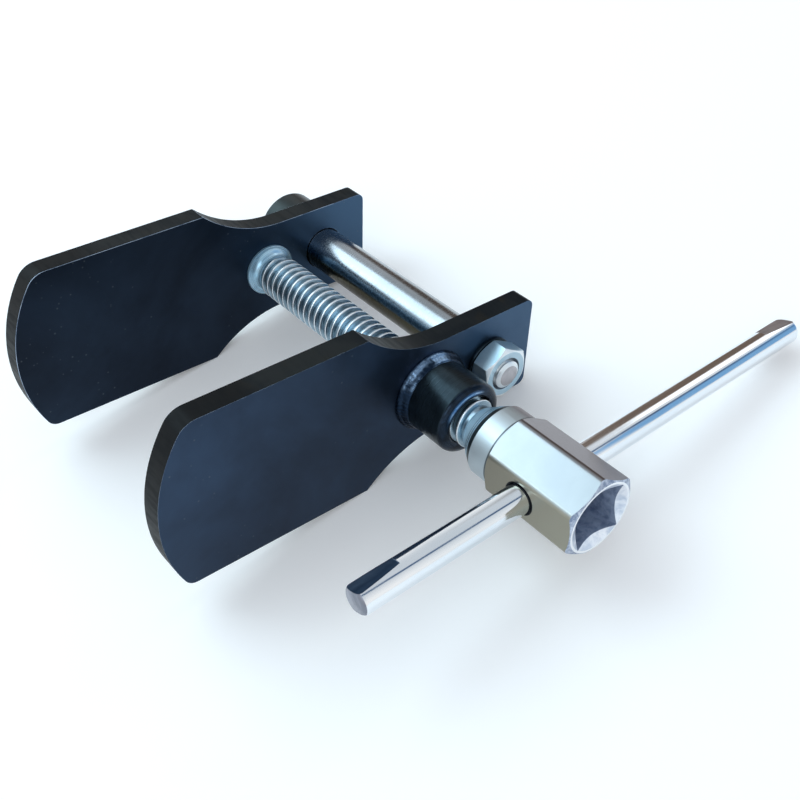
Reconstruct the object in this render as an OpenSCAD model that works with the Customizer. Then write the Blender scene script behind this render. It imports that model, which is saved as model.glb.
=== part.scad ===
// Screw-driven caliper spreader: a fixed and a sliding jaw plate, a guide rod, a lead screw and a T-bar.
// The screw is threaded through the fixed plate and pushes the sliding plate away along the guide rod.
// Working frame: screw axis on Y, outer face of the fixed plate at Y = 0, drive head on the -Y side,
// plates upright in XZ with their wide lobes towards -X. rested() then sets the tool down on its corners.

/* [Pose] */
// Clear distance between the two jaw plates
jaw_gap = 66.6; // [20:0.1:75]
// Turn of the drive head about the screw, positive lifts the +X end of the bar
head_turn = 2; // [-15:0.5:15]
// How far the T-bar is pushed through the head towards +X
bar_shift = 17.8; // [-30:0.1:30]

/* [Jaw plates] */
// Thickness of each stamped plate
plate_t = 6; // [3:0.1:9]
// Height of the wide lobe
lobe_h = 47; // [38:0.5:60]
// Reach of the lobe from the screw axis
lobe_reach = 77.5; // [65:0.1:95]
// Radius of the lobe's bowed end
lobe_end_r = 42; // [36:0.5:60]
// Distance of the bowed end's middle below the screw axis
lobe_end_drop = 2.6; // [0:0.1:5]
// Radius of the lobe's upper outer corner
lobe_top_r = 6; // [2:0.1:8]
// Radius of the lobe's lower outer corner
lobe_low_r = 3.5; // [2:0.1:8]
// Radius of the scoops between lobe and tail
neck_r = 36.5; // [28:0.5:48]
// Distance past the screw axis where each scoop runs into the tail
neck_x = 5; // [0:0.5:12]
// Height of the narrow tail
tail_h = 27.5; // [24:0.5:34]
// Reach of the tail from the screw axis
tail_reach = 34.9; // [32:0.1:45]
// Radius of the tail's corners
tail_corner_r = 2.2; // [1:0.1:5]

/* [Lead screw] */
// Outside diameter of the thread
screw_d = 12.7; // [10:0.1:14]
// Pitch of the single-start thread
screw_pitch = 2.54; // [2:0.01:4]
// Depth of the thread
thread_depth = 1.1; // [0.6:0.05:1.5]
// Diameter of the thrust flange against the sliding plate
flange_d = 15.4; // [14:0.1:20]
// Thickness of the flange's rim
flange_rim = 0.9; // [0.5:0.1:2]
// Length of the flare from the rim down to the thread root
flange_flare = 2.6; // [1.5:0.1:4]
// Diameter of the journal that turns in the sliding plate
journal_d = 9; // [7:0.1:10]
// Outside diameter of the washer behind the sliding plate
washer_d = 16; // [12:0.1:17]
// Thickness of that washer
washer_t = 1.5; // [1:0.1:2.5]
// Diameter of the peened screw end
peen_d = 12; // [10.5:0.1:14]
// Height of the peened screw end
peen_h = 2; // [1:0.1:4]

/* [Threaded boss] */
// Outside diameter of the boss
boss_d = 19.5; // [17:0.1:24]
// Length of the boss
boss_len = 15.5; // [10:0.1:25]
// Chamfer on the boss's outer end
boss_chamfer = 1; // [0.3:0.1:1.8]
// Radial width of the weld beads
weld_w = 1.5; // [0.8:0.1:2]
// Height of the weld beads along the boss and sleeve
weld_h = 3.2; // [1:0.1:5]

/* [Guide] */
// Distance from screw axis to guide rod axis
guide_x = 20; // [18:0.1:28]
// Diameter of the polished guide rod
guide_d = 12.4; // [8:0.1:14]
// Rod length from the fixed plate's inner face
guide_len = 86; // [60:0.5:110]
// Chamfer on the rod's free end
guide_chamfer = 1; // [0.3:0.1:2]
// Diameter of the rod's clamping stud
stud_d = 8; // [6:0.1:10]
// Length of stud that stands past the nut
stud_proud = 1.2; // [0.5:0.1:4]
// Nut size across flats
nut_af = 13.4; // [11:0.1:17]
// Nut height
nut_h = 6; // [4:0.1:9]
// Turn of the nut on its stud
nut_turn = 58; // [0:1:60]
// Outside diameter of the washer under the nut
nut_washer_d = 14.4; // [12:0.1:15]
// Thickness of the washer under the nut
nut_washer_t = 1; // [0.5:0.1:2.5]
// Outside diameter of the guide sleeve behind the sliding plate
sleeve_d = 19.8; // [17:0.1:24]
// Length of the guide sleeve
sleeve_len = 14; // [8:0.1:25]
// Diameter of the sliding plate's clearance hole for the rod
rod_hole_d = 12.9; // [8.5:0.1:14.5]

/* [Drive head] */
// Free screw length between boss and the head's throat
throat_gap = 3.2; // [2:0.1:20]
// Diameter of the throat where it meets the screw
throat_d = 11.2; // [10.6:0.1:12.4]
// Length of the throat's flare
throat_len = 3.4; // [1:0.1:6]
// Diameter where the flare meets the collar's cone
cone_d = 15.8; // [13:0.1:18]
// Length of the collar's cone
cone_len = 2.9; // [1:0.1:5]
// Diameter of the turned collar
collar_d = 19.2; // [18.5:0.1:22]
// Length of the collar
collar_len = 5.7; // [3:0.1:12]
// Hexagon size across flats
hex_af = 19.5; // [18.6:0.1:24]
// Length of the hexagon
hex_len = 27.2; // [25:0.1:34]
// Side of the square drive socket
socket_side = 12.8; // [9.5:0.1:13]
// Depth of the square drive socket
socket_depth = 11; // [8:0.1:11.4]
// Diameter of the socket's countersink at the mouth
sink_d = 17.8; // [14:0.1:18.4]
// Distance from the mouth to the T-bar's cross hole
bar_from_mouth = 15.8; // [15.6:0.1:20]
// Length of screw shank seated in the head
shank_seat = 14; // [6:0.1:17]
// Diameter of the screw shank seated in the head
shank_d = 10; // [8:0.1:12]

/* [T-bar] */
// Diameter of the bar
bar_d = 7.5; // [5:0.1:7.8]
// Length of the bar
bar_len = 148.4; // [110:0.1:180]
// Rounding of the bar's end edges
bar_tip_r = 1.2; // [0.5:0.1:2]
// Length of the pressed flats at each end
press_len = 11.8; // [6:0.1:20]
// Depth of the flats where they begin
press_in = 0.35; // [0.1:0.05:1]
// Depth of the flats at the tip
press_out = 1.1; // [0.3:0.05:1.5]
// Lean of the flats about the bar, away from the plates' upright
press_lean = 20; // [0:1:45]

/* [Fits] */
// Radial running clearance of screw in boss, journal in plate and rod in sleeve
run_fit = 0.06; // [0.02:0.01:0.1]
// End float of the screw in the sliding plate, each side
end_float = 0.1; // [0.05:0.01:0.3]
// Radial clearance of the bar in the head
bar_fit = 0.08; // [0.02:0.01:0.1]

/* [Hidden] */

$fa = 4;
$fs = 0.4;
eps = 0.05;

// stations along the screw axis
near_in = plate_t;
far_in = near_in + jaw_gap;
far_out = far_in + plate_t;
throat_y = -boss_len - throat_gap;
cone_y = throat_y - throat_len;
collar_y = cone_y - cone_len;
hex_y = collar_y - collar_len;
mouth_y = hex_y - hex_len;
bar_y = mouth_y + bar_from_mouth;

// plate outline
lobe_half = lobe_h / 2;
tail_half = tail_h / 2;
end_cx = lobe_end_r - lobe_reach;
top_z = lobe_half - lobe_top_r;
top_dx = sqrt(pow(lobe_end_r - lobe_top_r, 2) - pow(top_z + lobe_end_drop, 2));
top_a = atan2(top_z + lobe_end_drop, top_dx);
low_z = lobe_half - lobe_low_r;
low_dx = sqrt(pow(lobe_end_r - lobe_low_r, 2) - pow(low_z - lobe_end_drop, 2));
low_a = atan2(low_z - lobe_end_drop, low_dx);
neck_z = tail_half + neck_r;
neck_half = acos((neck_z - lobe_half) / neck_r);
lobe_tip_x = neck_x - neck_r * sin(neck_half);

// screw thread, and the stations of the flange at its far end
rim_y = far_in - end_float;
flare_y = rim_y - flange_rim - flange_flare;
root_r = screw_d / 2 - thread_depth;
core_r = root_r + 0.02;
crest_w = 0.30 * screw_pitch;
root_w = 0.76 * screw_pitch;
thread_steps = 18;
thread_y0 = throat_y + 0.25 + root_w / 2;
thread_y1 = flare_y - screw_pitch;
thread_n = floor((thread_y1 - thread_y0) / screw_pitch * thread_steps);

// lie of the tool on a flat surface: lobe corners and tail corners share the ground
lie_dx = tail_reach - tail_corner_r - lobe_tip_x;
lie_dz = lobe_half - tail_half + tail_corner_r;
lie = atan2(lie_dz, lie_dx) - asin(tail_corner_r / norm([lie_dx, lie_dz]));
axis_h = lobe_half * cos(lie) + lobe_tip_x * sin(lie);

// middle of the base under the whole tool
bar_slope = lie - head_turn;
left_x = end_cx * cos(lie) - lobe_end_drop * sin(lie) - lobe_end_r;
right_x = (bar_len / 2 + bar_shift - bar_tip_r) * cos(bar_slope)
        + (bar_d / 2 - bar_tip_r) * sin(abs(bar_slope)) + bar_tip_r;
back_y = max(far_out + sleeve_len, near_in + guide_len);
mid_x = (left_x + right_x) / 2;
mid_y = (mouth_y + back_y) / 2;

// sets a child down on the ground, base centred on the origin
module rested() {
    translate([-mid_x, -mid_y, axis_h]) rotate([0, lie, 0]) children();
}

// revolves an (r, y) profile about an axis parallel to Y
module turned(x, profile) {
    translate([x, 0, 0]) rotate([-90, 0, 0]) rotate_extrude() polygon(profile);
}

// round hole or peg along Y from y0 to y1
module peg_y(x, d, y0, y1) {
    translate([x, y0, 0]) rotate([-90, 0, 0]) cylinder(d = d, h = y1 - y0);
}

// hexagonal prism along Y with a flat facing +X
module hex_y(af, y0, y1) {
    translate([0, y0, 0]) rotate([-90, 0, 0]) rotate([0, 0, 30])
        cylinder(d = af / cos(30), h = y1 - y0, $fn = 6);
}

// double cone that trims the corners of a hexagon at both ends
module corner_trim(af, y0, y1, face_d, x = 0) {
    reach = af / cos(30) / 2 + 0.5;
    drop = (reach - face_d / 2) * tan(30);
    turned(x, [[0, y0], [face_d / 2, y0], [reach, y0 + drop], [reach, y1 - drop],
               [face_d / 2, y1], [0, y1]]);
}

// points along an arc, both ends included
function arc(cx, cz, r, a0, a1, steps) =
    [for (i = [0 : steps]) let (a = a0 + (a1 - a0) * i / steps) [cx + r * cos(a), cz + r * sin(a)]];

// outline shared by both stampings, drawn in (x, z) from the bowed end round by the tail
module plate_outline() {
    polygon(concat(
        arc(end_cx, -lobe_end_drop, lobe_end_r, 180 - top_a, 180 + low_a, 32),
        arc(end_cx - low_dx, -low_z, lobe_low_r, 180 + low_a, 270, 6),
        arc(neck_x, -neck_z, neck_r, 90 + neck_half, 90, 18),
        arc(tail_reach - tail_corner_r, tail_corner_r - tail_half, tail_corner_r, 270, 360, 8),
        arc(tail_reach - tail_corner_r, tail_half - tail_corner_r, tail_corner_r, 0, 90, 8),
        arc(neck_x, neck_z, neck_r, 270, 270 - neck_half, 18),
        arc(end_cx - top_dx, top_z, lobe_top_r, 90, 180 - top_a, 6)));
}

// blank plate with its outer face at y0
module plate_blank(y0) {
    translate([0, y0 + plate_t, 0]) rotate([90, 0, 0]) linear_extrude(plate_t) plate_outline();
}

// convex weld bead around a tube of diameter d that stands on the plane y0; side is -1 or +1
module bead(x, d, y0, side) {
    turned(x, [[d / 2, y0], [d / 2 + weld_w, y0], [d / 2 + 0.86 * weld_w, y0 + side * 0.42 * weld_h],
               [d / 2 + 0.5 * weld_w, y0 + side * 0.8 * weld_h], [d / 2, y0 + side * weld_h]]);
}

module fixed_plate() {
    color("#222a38") rested() difference() {
        plate_blank(0);
        peg_y(0, screw_d + 2 * run_fit + 0.4, -1, plate_t + 1);
        peg_y(guide_x, stud_d + 0.4, -1, plate_t + 1);
    }
}

module screw_boss() {
    bore_r = screw_d / 2 + run_fit;
    color("#1d242b") rested()
        turned(0, [[bore_r, 0], [boss_d / 2, 0], [boss_d / 2, boss_chamfer - boss_len],
                   [boss_d / 2 - boss_chamfer, -boss_len], [bore_r + 0.6, -boss_len],
                   [bore_r, 0.6 - boss_len]]);
}

module boss_weld() {
    color("#5d7190") rested() bead(0, boss_d, 0, -1);
}

module guide_rod() {
    rod_end = near_in + guide_len;
    stud_end = -nut_washer_t - nut_h - stud_proud;
    color("#c9ced6") rested()
        turned(guide_x, [[0, stud_end], [stud_d / 2 - 0.8, stud_end], [stud_d / 2, stud_end + 0.8],
                         [stud_d / 2, near_in], [guide_d / 2, near_in],
                         [guide_d / 2, rod_end - guide_chamfer],
                         [guide_d / 2 - guide_chamfer, rod_end], [0, rod_end]]);
}

module nut_washer() {
    color("#1d242b") rested()
        turned(guide_x, [[stud_d / 2, -nut_washer_t], [nut_washer_d / 2, -nut_washer_t],
                         [nut_washer_d / 2, 0], [stud_d / 2, 0]]);
}

module guide_nut() {
    color("#b9c4cf") rested() translate([guide_x, -nut_washer_t, 0]) rotate([0, nut_turn, 0]) difference() {
        intersection() {
            hex_y(nut_af, -nut_h, 0);
            corner_trim(nut_af, -nut_h, 0, 0.95 * nut_af);
        }
        peg_y(0, stud_d, -nut_h - 1, 1);
    }
}

module sliding_plate() {
    color("#222a38") rested() difference() {
        plate_blank(far_in);
        peg_y(0, journal_d + 2 * run_fit, far_in - 1, far_out + 1);
        peg_y(guide_x, rod_hole_d, far_in - 1, far_out + 1);
        // broken edge round the rod hole
        turned(guide_x, [[0, far_in - eps], [rod_hole_d / 2 + 0.5, far_in - eps],
                         [rod_hole_d / 2 - eps, far_in + 0.5], [0, far_in + 0.5]]);
    }
}

module guide_sleeve() {
    bore_r = guide_d / 2 + run_fit;
    sleeve_end = far_out + sleeve_len;
    color("#1d242b") rested()
        turned(guide_x, [[bore_r, far_out], [sleeve_d / 2, far_out],
                         [sleeve_d / 2, sleeve_end - boss_chamfer],
                         [sleeve_d / 2 - boss_chamfer, sleeve_end], [bore_r + 0.6, sleeve_end],
                         [bore_r, sleeve_end - 0.6]]);
}

module sleeve_weld() {
    color("#5d7190") rested() bead(guide_x, sleeve_d, far_out, 1);
}

// one section of the thread at step i: root, crest, crest, root; the crest fades in and out over half a turn
function thread_section(i) =
    let (a = 360 * i / thread_steps,
         y = thread_y0 + screw_pitch * i / thread_steps,
         ramp = min(1, (i + 1) / thread_steps * 2, (thread_n - i + 1) / thread_steps * 2),
         out = root_r + thread_depth * ramp)
    [for (p = [[root_r, -root_w / 2], [out, -crest_w / 2], [out, crest_w / 2], [root_r, root_w / 2]])
        [p[0] * cos(a), p[0] * sin(a), y + p[1]]];

// ring of root points at y, one for each step of a turn
function root_ring(y) =
    [for (j = [0 : thread_steps - 1]) let (a = 360 * j / thread_steps) [root_r * cos(a), root_r * sin(a), y]];

// the threaded length as one helical surface, right-hand, closed by a ring at each end
module threaded_core(y0, y1) {
    s = thread_steps;
    n = thread_n;
    low = 4 * (n + 1);
    high = low + s;
    m = n % s;
    points = concat([for (i = [0 : n]) each thread_section(i)], root_ring(y0), root_ring(y1));
    flanks = [for (i = [0 : n - 1], k = [0 : 2]) let (a = 4 * i + k)
        each [[a, a + 1, a + 4], [a + 1, a + 5, a + 4]]];
    roots = [for (i = [0 : n - s - 1]) let (a = 4 * i + 3, b = 4 * (i + s))
        each [[a, b, a + 4], [b, b + 4, a + 4]]];
    first = [for (j = [0 : s - 2])
        each [[low + j, 4 * j, low + j + 1], [4 * j, 4 * j + 4, low + j + 1]]];
    final = [for (i = [n - s + 1 : n - 1])
        each [[4 * i + 3, high + i % s, 4 * i + 7], [high + i % s, high + (i + 1) % s, 4 * i + 7]]];
    p = 4 * (s - 1);
    q = 4 * (n - s) + 7;
    closing = [
        [p, 4 * s, 3], [p, 3, 0], [p, 0, low], [p, low, low + s - 1],
        [q, q - 4, 4 * n], [q, 4 * n, 4 * n + 3], [q, 4 * n + 3, high + m], [q, high + m, high + (m + 1) % s],
        [0, 3, 2], [0, 2, 1], [4 * n, 4 * n + 1, 4 * n + 2], [4 * n, 4 * n + 2, 4 * n + 3],
        [for (j = [0 : s - 1]) low + j], [for (j = [s - 1 : -1 : 0]) high + j]];
    rotate([-90, 0, 0]) polyhedron(points, concat(flanks, roots, first, final, closing));
}

// shank in the head, threaded core, flared flange, journal through the sliding plate, peened end
module lead_screw() {
    peen_y = far_out + 2 * end_float + washer_t;
    flare = [for (a = [0 : 15 : 90])
        [core_r + (flange_d / 2 - core_r) * (1 - cos(a)), flare_y + flange_flare * sin(a)]];
    color("#b4bcc6") rested() {
        turned(0, [[0, throat_y - shank_seat], [shank_d / 2, throat_y - shank_seat],
                   [shank_d / 2, throat_y], [core_r, throat_y], [core_r, throat_y + 0.5],
                   [0, throat_y + 0.5]]);
        threaded_core(throat_y + 0.2, flare_y - 0.2);
        turned(0, concat(
            [[0, flare_y - 0.6], [core_r, flare_y - 0.6]], flare,
            [[flange_d / 2, rim_y], [journal_d / 2, rim_y], [journal_d / 2, peen_y],
             [peen_d / 2, peen_y], [peen_d / 2, peen_y + 0.5 * peen_h],
             [0.36 * peen_d, peen_y + 0.9 * peen_h], [0, peen_y + peen_h]]));
    }
}

module thrust_washer() {
    y0 = far_out + end_float;
    color("#aab2bc") rested()
        turned(0, [[journal_d / 2, y0], [washer_d / 2, y0], [washer_d / 2, y0 + washer_t],
                   [journal_d / 2, y0 + washer_t]]);
}

module drive_head() {
    color("#b9bec4") rested() rotate([0, -head_turn, 0]) difference() {
        union() {
            intersection() {
                hex_y(hex_af, mouth_y, hex_y);
                corner_trim(hex_af, mouth_y, hex_y, 0.97 * hex_af);
            }
            turned(0, [[0, hex_y - 1], [collar_d / 2, hex_y - 1], [collar_d / 2, collar_y],
                       [cone_d / 2, cone_y], [throat_d / 2, throat_y], [0, throat_y]]);
        }
        peg_y(0, shank_d, throat_y - shank_seat, throat_y + 1);
        translate([-socket_side / 2, mouth_y - 1, -socket_side / 2])
            cube([socket_side, socket_depth + 1, socket_side]);
        turned(0, [[0, mouth_y - eps], [sink_d / 2 + 2 * eps, mouth_y - eps],
                   [socket_side / 2 - 1, mouth_y + (sink_d - socket_side + 2) / 2 * tan(30)],
                   [0, mouth_y + (sink_d - socket_side + 2) / 2 * tan(30)]]);
        translate([0, bar_y, 0]) rotate([0, 90, 0])
            cylinder(d = bar_d + 2 * bar_fit, h = 2 * hex_af, center = true);
    }
}

module t_bar() {
    half = bar_len / 2;
    slant = atan2(press_out - press_in, press_len);
    color("#c9ced6") rested() rotate([0, -head_turn, 0]) translate([bar_shift, bar_y, 0]) difference() {
        rotate([0, 90, 0]) rotate_extrude() {
            translate([0, -half + bar_tip_r]) square([bar_d / 2, bar_len - 2 * bar_tip_r]);
            translate([0, -half]) square([bar_d / 2 - bar_tip_r, bar_len]);
            for (s = [-1, 1]) translate([bar_d / 2 - bar_tip_r, s * (half - bar_tip_r)])
                circle(r = bar_tip_r, $fn = 32);
        }
        for (end = [0, 180], face = [0, 180])
            rotate([0, 0, end]) rotate([(end == 0 ? -1 : 1) * press_lean + face, 0, 0])
                translate([half - press_len, -bar_d, bar_d / 2 - press_in])
                    rotate([0, slant, 0]) cube([2 * press_len, 2 * bar_d, bar_d]);
    }
}

fixed_plate();
screw_boss();
boss_weld();
guide_rod();
nut_washer();
guide_nut();
sliding_plate();
guide_sleeve();
sleeve_weld();
lead_screw();
thrust_washer();
drive_head();
t_bar();
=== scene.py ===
"""Looks of a screw-driven brake caliper spreader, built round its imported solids."""
import logging
import math
from dataclasses import dataclass, field, replace
from enum import Enum
from typing import Callable, Dict, List, Optional, Sequence, Tuple

import bmesh
import bpy
from mathutils import Euler, Matrix, Vector


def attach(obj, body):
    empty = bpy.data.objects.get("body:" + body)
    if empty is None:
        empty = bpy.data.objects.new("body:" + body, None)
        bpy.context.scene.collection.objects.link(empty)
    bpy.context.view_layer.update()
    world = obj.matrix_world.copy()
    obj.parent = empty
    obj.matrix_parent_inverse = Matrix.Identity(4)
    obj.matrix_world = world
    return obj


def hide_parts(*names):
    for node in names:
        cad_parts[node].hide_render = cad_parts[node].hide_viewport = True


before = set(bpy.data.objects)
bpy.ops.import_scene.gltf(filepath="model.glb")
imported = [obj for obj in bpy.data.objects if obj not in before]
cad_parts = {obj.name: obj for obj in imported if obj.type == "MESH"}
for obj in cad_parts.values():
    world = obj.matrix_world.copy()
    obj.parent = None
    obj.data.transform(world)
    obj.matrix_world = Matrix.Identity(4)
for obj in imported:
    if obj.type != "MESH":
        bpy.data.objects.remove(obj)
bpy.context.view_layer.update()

LOG = logging.getLogger("spreader")
MM = 0.001
TAU = 2 * math.pi
ONE_POINT = 0.001 * MM  # points nearer than this count as one
ROUND_STEPS = 96  # steps round a turned piece
FINE_STEPS = 128  # steps round what trims and sinks the head
MARGIN = MM  # how far a drill runs past the metal
WHITE = (1.0, 1.0, 1.0)

Piece = bpy.types.Object
Socket = bpy.types.NodeSocket
Point = Tuple[float, float, float]
Colour = Tuple[float, float, float]
Limits = Tuple[float, float]
Surface = Tuple[object, object, object]
Outline = Sequence[Tuple[float, float]]
FaceTest = Callable[[Vector, Vector], bool]


class Body(Enum):
    """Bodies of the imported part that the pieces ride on."""

    FIXED = "fixed_jaw"
    SLIDING = "sliding_jaw"
    SCREW = "screw"
    BAR = "bar"


class Side(Enum):
    """Side of a plate along the screw's axis."""

    HEAD = -1
    BACK = 1


# The bench


class Bench:
    """Modelling steps, each one or a few operators on the piece in hand."""

    @staticmethod
    def clear() -> None:
        """Goes to object mode with nothing selected."""
        if bpy.context.mode != "OBJECT":
            bpy.ops.object.mode_set(mode="OBJECT")
        bpy.ops.object.select_all(action="DESELECT")

    @staticmethod
    def hold(piece: Piece) -> None:
        """Selects one piece alone and makes it active.

        Args:
            piece: The object to work on.
        """
        Bench.clear()
        piece.select_set(True)
        bpy.context.view_layer.objects.active = piece

    @staticmethod
    def adopt(name: str) -> Piece:
        """Names the primitive just added and puts its place into its mesh.

        Args:
            name: Name for the object and its mesh.

        Returns:
            The object, at the origin.
        """
        piece = bpy.context.object
        piece.name = name
        piece.data.name = name
        bpy.ops.object.transform_apply(location=True, rotation=True, scale=True)
        return piece

    @staticmethod
    def edit(piece: Piece) -> None:
        """Opens a piece in edit mode with nothing selected."""
        Bench.hold(piece)
        bpy.ops.object.mode_set(mode="EDIT")
        bpy.ops.mesh.select_all(action="DESELECT")

    @staticmethod
    def start_point(name: str, at: Sequence[float]) -> Piece:
        """Starts a drawn line: a small plane merged to one point.

        Args:
            name: Name of the new object.
            at: Where the point is.

        Returns:
            The object, open in edit mode with its point selected.
        """
        Bench.clear()
        bpy.ops.mesh.primitive_plane_add(size=MM, location=at)
        piece = Bench.adopt(name)
        bpy.ops.object.mode_set(mode="EDIT")
        bpy.ops.mesh.select_mode(type="VERT")
        bpy.ops.mesh.select_all(action="SELECT")
        bpy.ops.mesh.merge(type="CENTER")
        return piece

    @staticmethod
    def pull(step: Sequence[float]) -> None:
        """Extrudes what is selected by a step."""
        bpy.ops.mesh.extrude_region_move(TRANSFORM_OT_translate={"value": tuple(step)})

    @staticmethod
    def sweep(centre: Sequence[float], degrees: float, steps: int) -> None:
        """Draws an arc in the XZ plane from the selected point.

        Args:
            centre: Centre of the arc.
            degrees: Angle, positive from +X to +Z.
            steps: Number of straight pieces.
        """
        bpy.ops.mesh.spin(steps=steps, angle=math.radians(degrees), center=tuple(centre), axis=(0, 1, 0))

    @staticmethod
    def close_outline(thickness: float) -> None:
        """Fills a drawn outline and pulls it to a plate along +Y."""
        bpy.ops.mesh.select_all(action="SELECT")
        bpy.ops.mesh.remove_doubles(threshold=ONE_POINT)
        bpy.ops.mesh.edge_face_add()
        Bench.pull((0, thickness, 0))
        Bench.tidy_normals()

    @staticmethod
    def tidy_normals() -> None:
        """Merges doubles and turns all faces outwards, then leaves edit mode."""
        bpy.ops.mesh.select_all(action="SELECT")
        bpy.ops.mesh.remove_doubles(threshold=ONE_POINT)
        bpy.ops.mesh.normals_make_consistent(inside=False)
        bpy.ops.object.mode_set(mode="OBJECT")

    @staticmethod
    def turn(
        name: str, outline: Outline, axis_x: float = 0.0, steps: int = ROUND_STEPS, ring: bool = False
    ) -> Piece:
        """Turns an outline on the lathe, about an axis parallel to Y.

        Args:
            name: Name of the new object.
            outline: Points (radius, y), from one end to the other.
            axis_x: Where the axis crosses X.
            steps: Steps in the full turn.
            ring: Whether the outline closes on itself, for a piece with a bore.

        Returns:
            The turned object, in object mode.
        """
        first = outline[0]
        piece = Bench.start_point(name, (axis_x + first[0], first[1], 0))
        for before, after in zip(outline, outline[1:]):
            Bench.pull((after[0] - before[0], after[1] - before[1], 0))
        if ring:
            Bench.pull((first[0] - outline[-1][0], first[1] - outline[-1][1], 0))
            bpy.ops.mesh.select_all(action="SELECT")
            bpy.ops.mesh.remove_doubles(threshold=ONE_POINT)
        bpy.ops.mesh.select_all(action="SELECT")
        bpy.ops.mesh.spin(steps=steps, angle=TAU, center=(axis_x, 0, 0), axis=(0, 1, 0))
        Bench.tidy_normals()
        return piece

    @staticmethod
    def pick_faces(piece: Piece, wanted: FaceTest) -> int:
        """Selects faces by their centre and normal in edit mode.

        Args:
            piece: Object that is open in edit mode.
            wanted: Test of (centre, normal).

        Returns:
            How many faces were selected.
        """
        mesh = bmesh.from_edit_mesh(piece.data)
        bpy.ops.mesh.select_mode(type="FACE")
        bpy.ops.mesh.select_all(action="DESELECT")
        count = 0
        for face in mesh.faces:
            if wanted(face.calc_center_median(), face.normal):
                face.select_set(True)
                count += 1
        mesh.select_flush_mode()
        bmesh.update_edit_mesh(piece.data)
        return count

    @staticmethod
    def pick_edges(piece: Piece, wanted: FaceTest) -> int:
        """Selects edges by their two ends in edit mode.

        Args:
            piece: Object that is open in edit mode.
            wanted: Test of the two end points.

        Returns:
            How many edges were selected.
        """
        mesh = bmesh.from_edit_mesh(piece.data)
        bpy.ops.mesh.select_mode(type="EDGE")
        bpy.ops.mesh.select_all(action="DESELECT")
        count = 0
        for edge in mesh.edges:
            if wanted(edge.verts[0].co, edge.verts[1].co):
                edge.select_set(True)
                count += 1
        bmesh.update_edit_mesh(piece.data)
        return count

    @staticmethod
    def pick_points(piece: Piece, wanted: Callable[[Vector], bool]) -> int:
        """Selects points by place in edit mode.

        Args:
            piece: Object that is open in edit mode.
            wanted: Test of a point's place.

        Returns:
            How many points were selected.
        """
        mesh = bmesh.from_edit_mesh(piece.data)
        bpy.ops.mesh.select_mode(type="VERT")
        bpy.ops.mesh.select_all(action="DESELECT")
        count = 0
        for point in mesh.verts:
            if wanted(point.co):
                point.select_set(True)
                count += 1
        mesh.select_flush_mode()
        bmesh.update_edit_mesh(piece.data)
        return count

    @staticmethod
    def apply(piece: Piece, modifier: bpy.types.Modifier) -> None:
        """Applies one modifier to a piece."""
        Bench.hold(piece)
        bpy.ops.object.modifier_apply(modifier=modifier.name)

    @staticmethod
    def combine(piece: Piece, other: Piece, operation: str) -> Piece:
        """Cuts, joins or intersects a piece with another one, which is used up.

        Args:
            piece: The piece that stays.
            other: The piece that is used up.
            operation: DIFFERENCE, UNION or INTERSECT.

        Returns:
            The piece that stays.
        """
        cut = piece.modifiers.new("combine", "BOOLEAN")
        cut.operation = operation
        cut.solver = "EXACT"
        cut.object = other
        Bench.apply(piece, cut)
        bpy.data.objects.remove(other)
        return piece

    @staticmethod
    def drill(piece: Piece, x: float, radius: float, y0: float, y1: float) -> None:
        """Drills a round hole along Y.

        Args:
            piece: The piece to drill.
            x: Where the hole's axis crosses X.
            radius: Radius of the hole.
            y0: Start of the drill.
            y1: End of the drill.
        """
        Bench.clear()
        bpy.ops.mesh.primitive_cylinder_add(
            vertices=ROUND_STEPS, radius=radius, depth=y1 - y0, location=(x, (y0 + y1) / 2, 0),
            rotation=(math.pi / 2, 0, 0),
        )
        Bench.combine(piece, Bench.adopt("drill"), "DIFFERENCE")

    @staticmethod
    def break_edges(
        piece: Piece, width: float, segments: int = 3, limit: float = 28.0, slot: int = -1
    ) -> None:
        """Rounds the sharp edges of a finished form and evens its shading.

        Args:
            piece: The piece to finish.
            width: Width of the rounding.
            segments: Steps across the rounding.
            limit: Edges sharper than this many degrees are rounded.
            slot: Material slot for the rounding, or -1 to keep that of its neighbours.
        """
        bevel = piece.modifiers.new("edge", "BEVEL")
        bevel.width = width
        bevel.segments = segments
        bevel.limit_method = "ANGLE"
        bevel.angle_limit = math.radians(limit)
        bevel.material = slot
        Bench.apply(piece, bevel)
        Bench.shade(piece)

    @staticmethod
    def shade(piece: Piece, angle: float = 32.0) -> None:
        """Smooths the shading over gentle angles, with large faces kept flat."""
        Bench.hold(piece)
        bpy.ops.object.shade_smooth_by_angle(angle=math.radians(angle))
        even = piece.modifiers.new("even", "WEIGHTED_NORMAL")
        even.keep_sharp = True
        Bench.apply(piece, even)

    @staticmethod
    def swing(piece: Piece, about: Matrix) -> None:
        """Moves a piece by a matrix, the place going into its mesh."""
        Bench.hold(piece)
        piece.matrix_world = about @ piece.matrix_world
        bpy.ops.object.transform_apply(location=True, rotation=True, scale=True)


# How the tool stands


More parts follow.
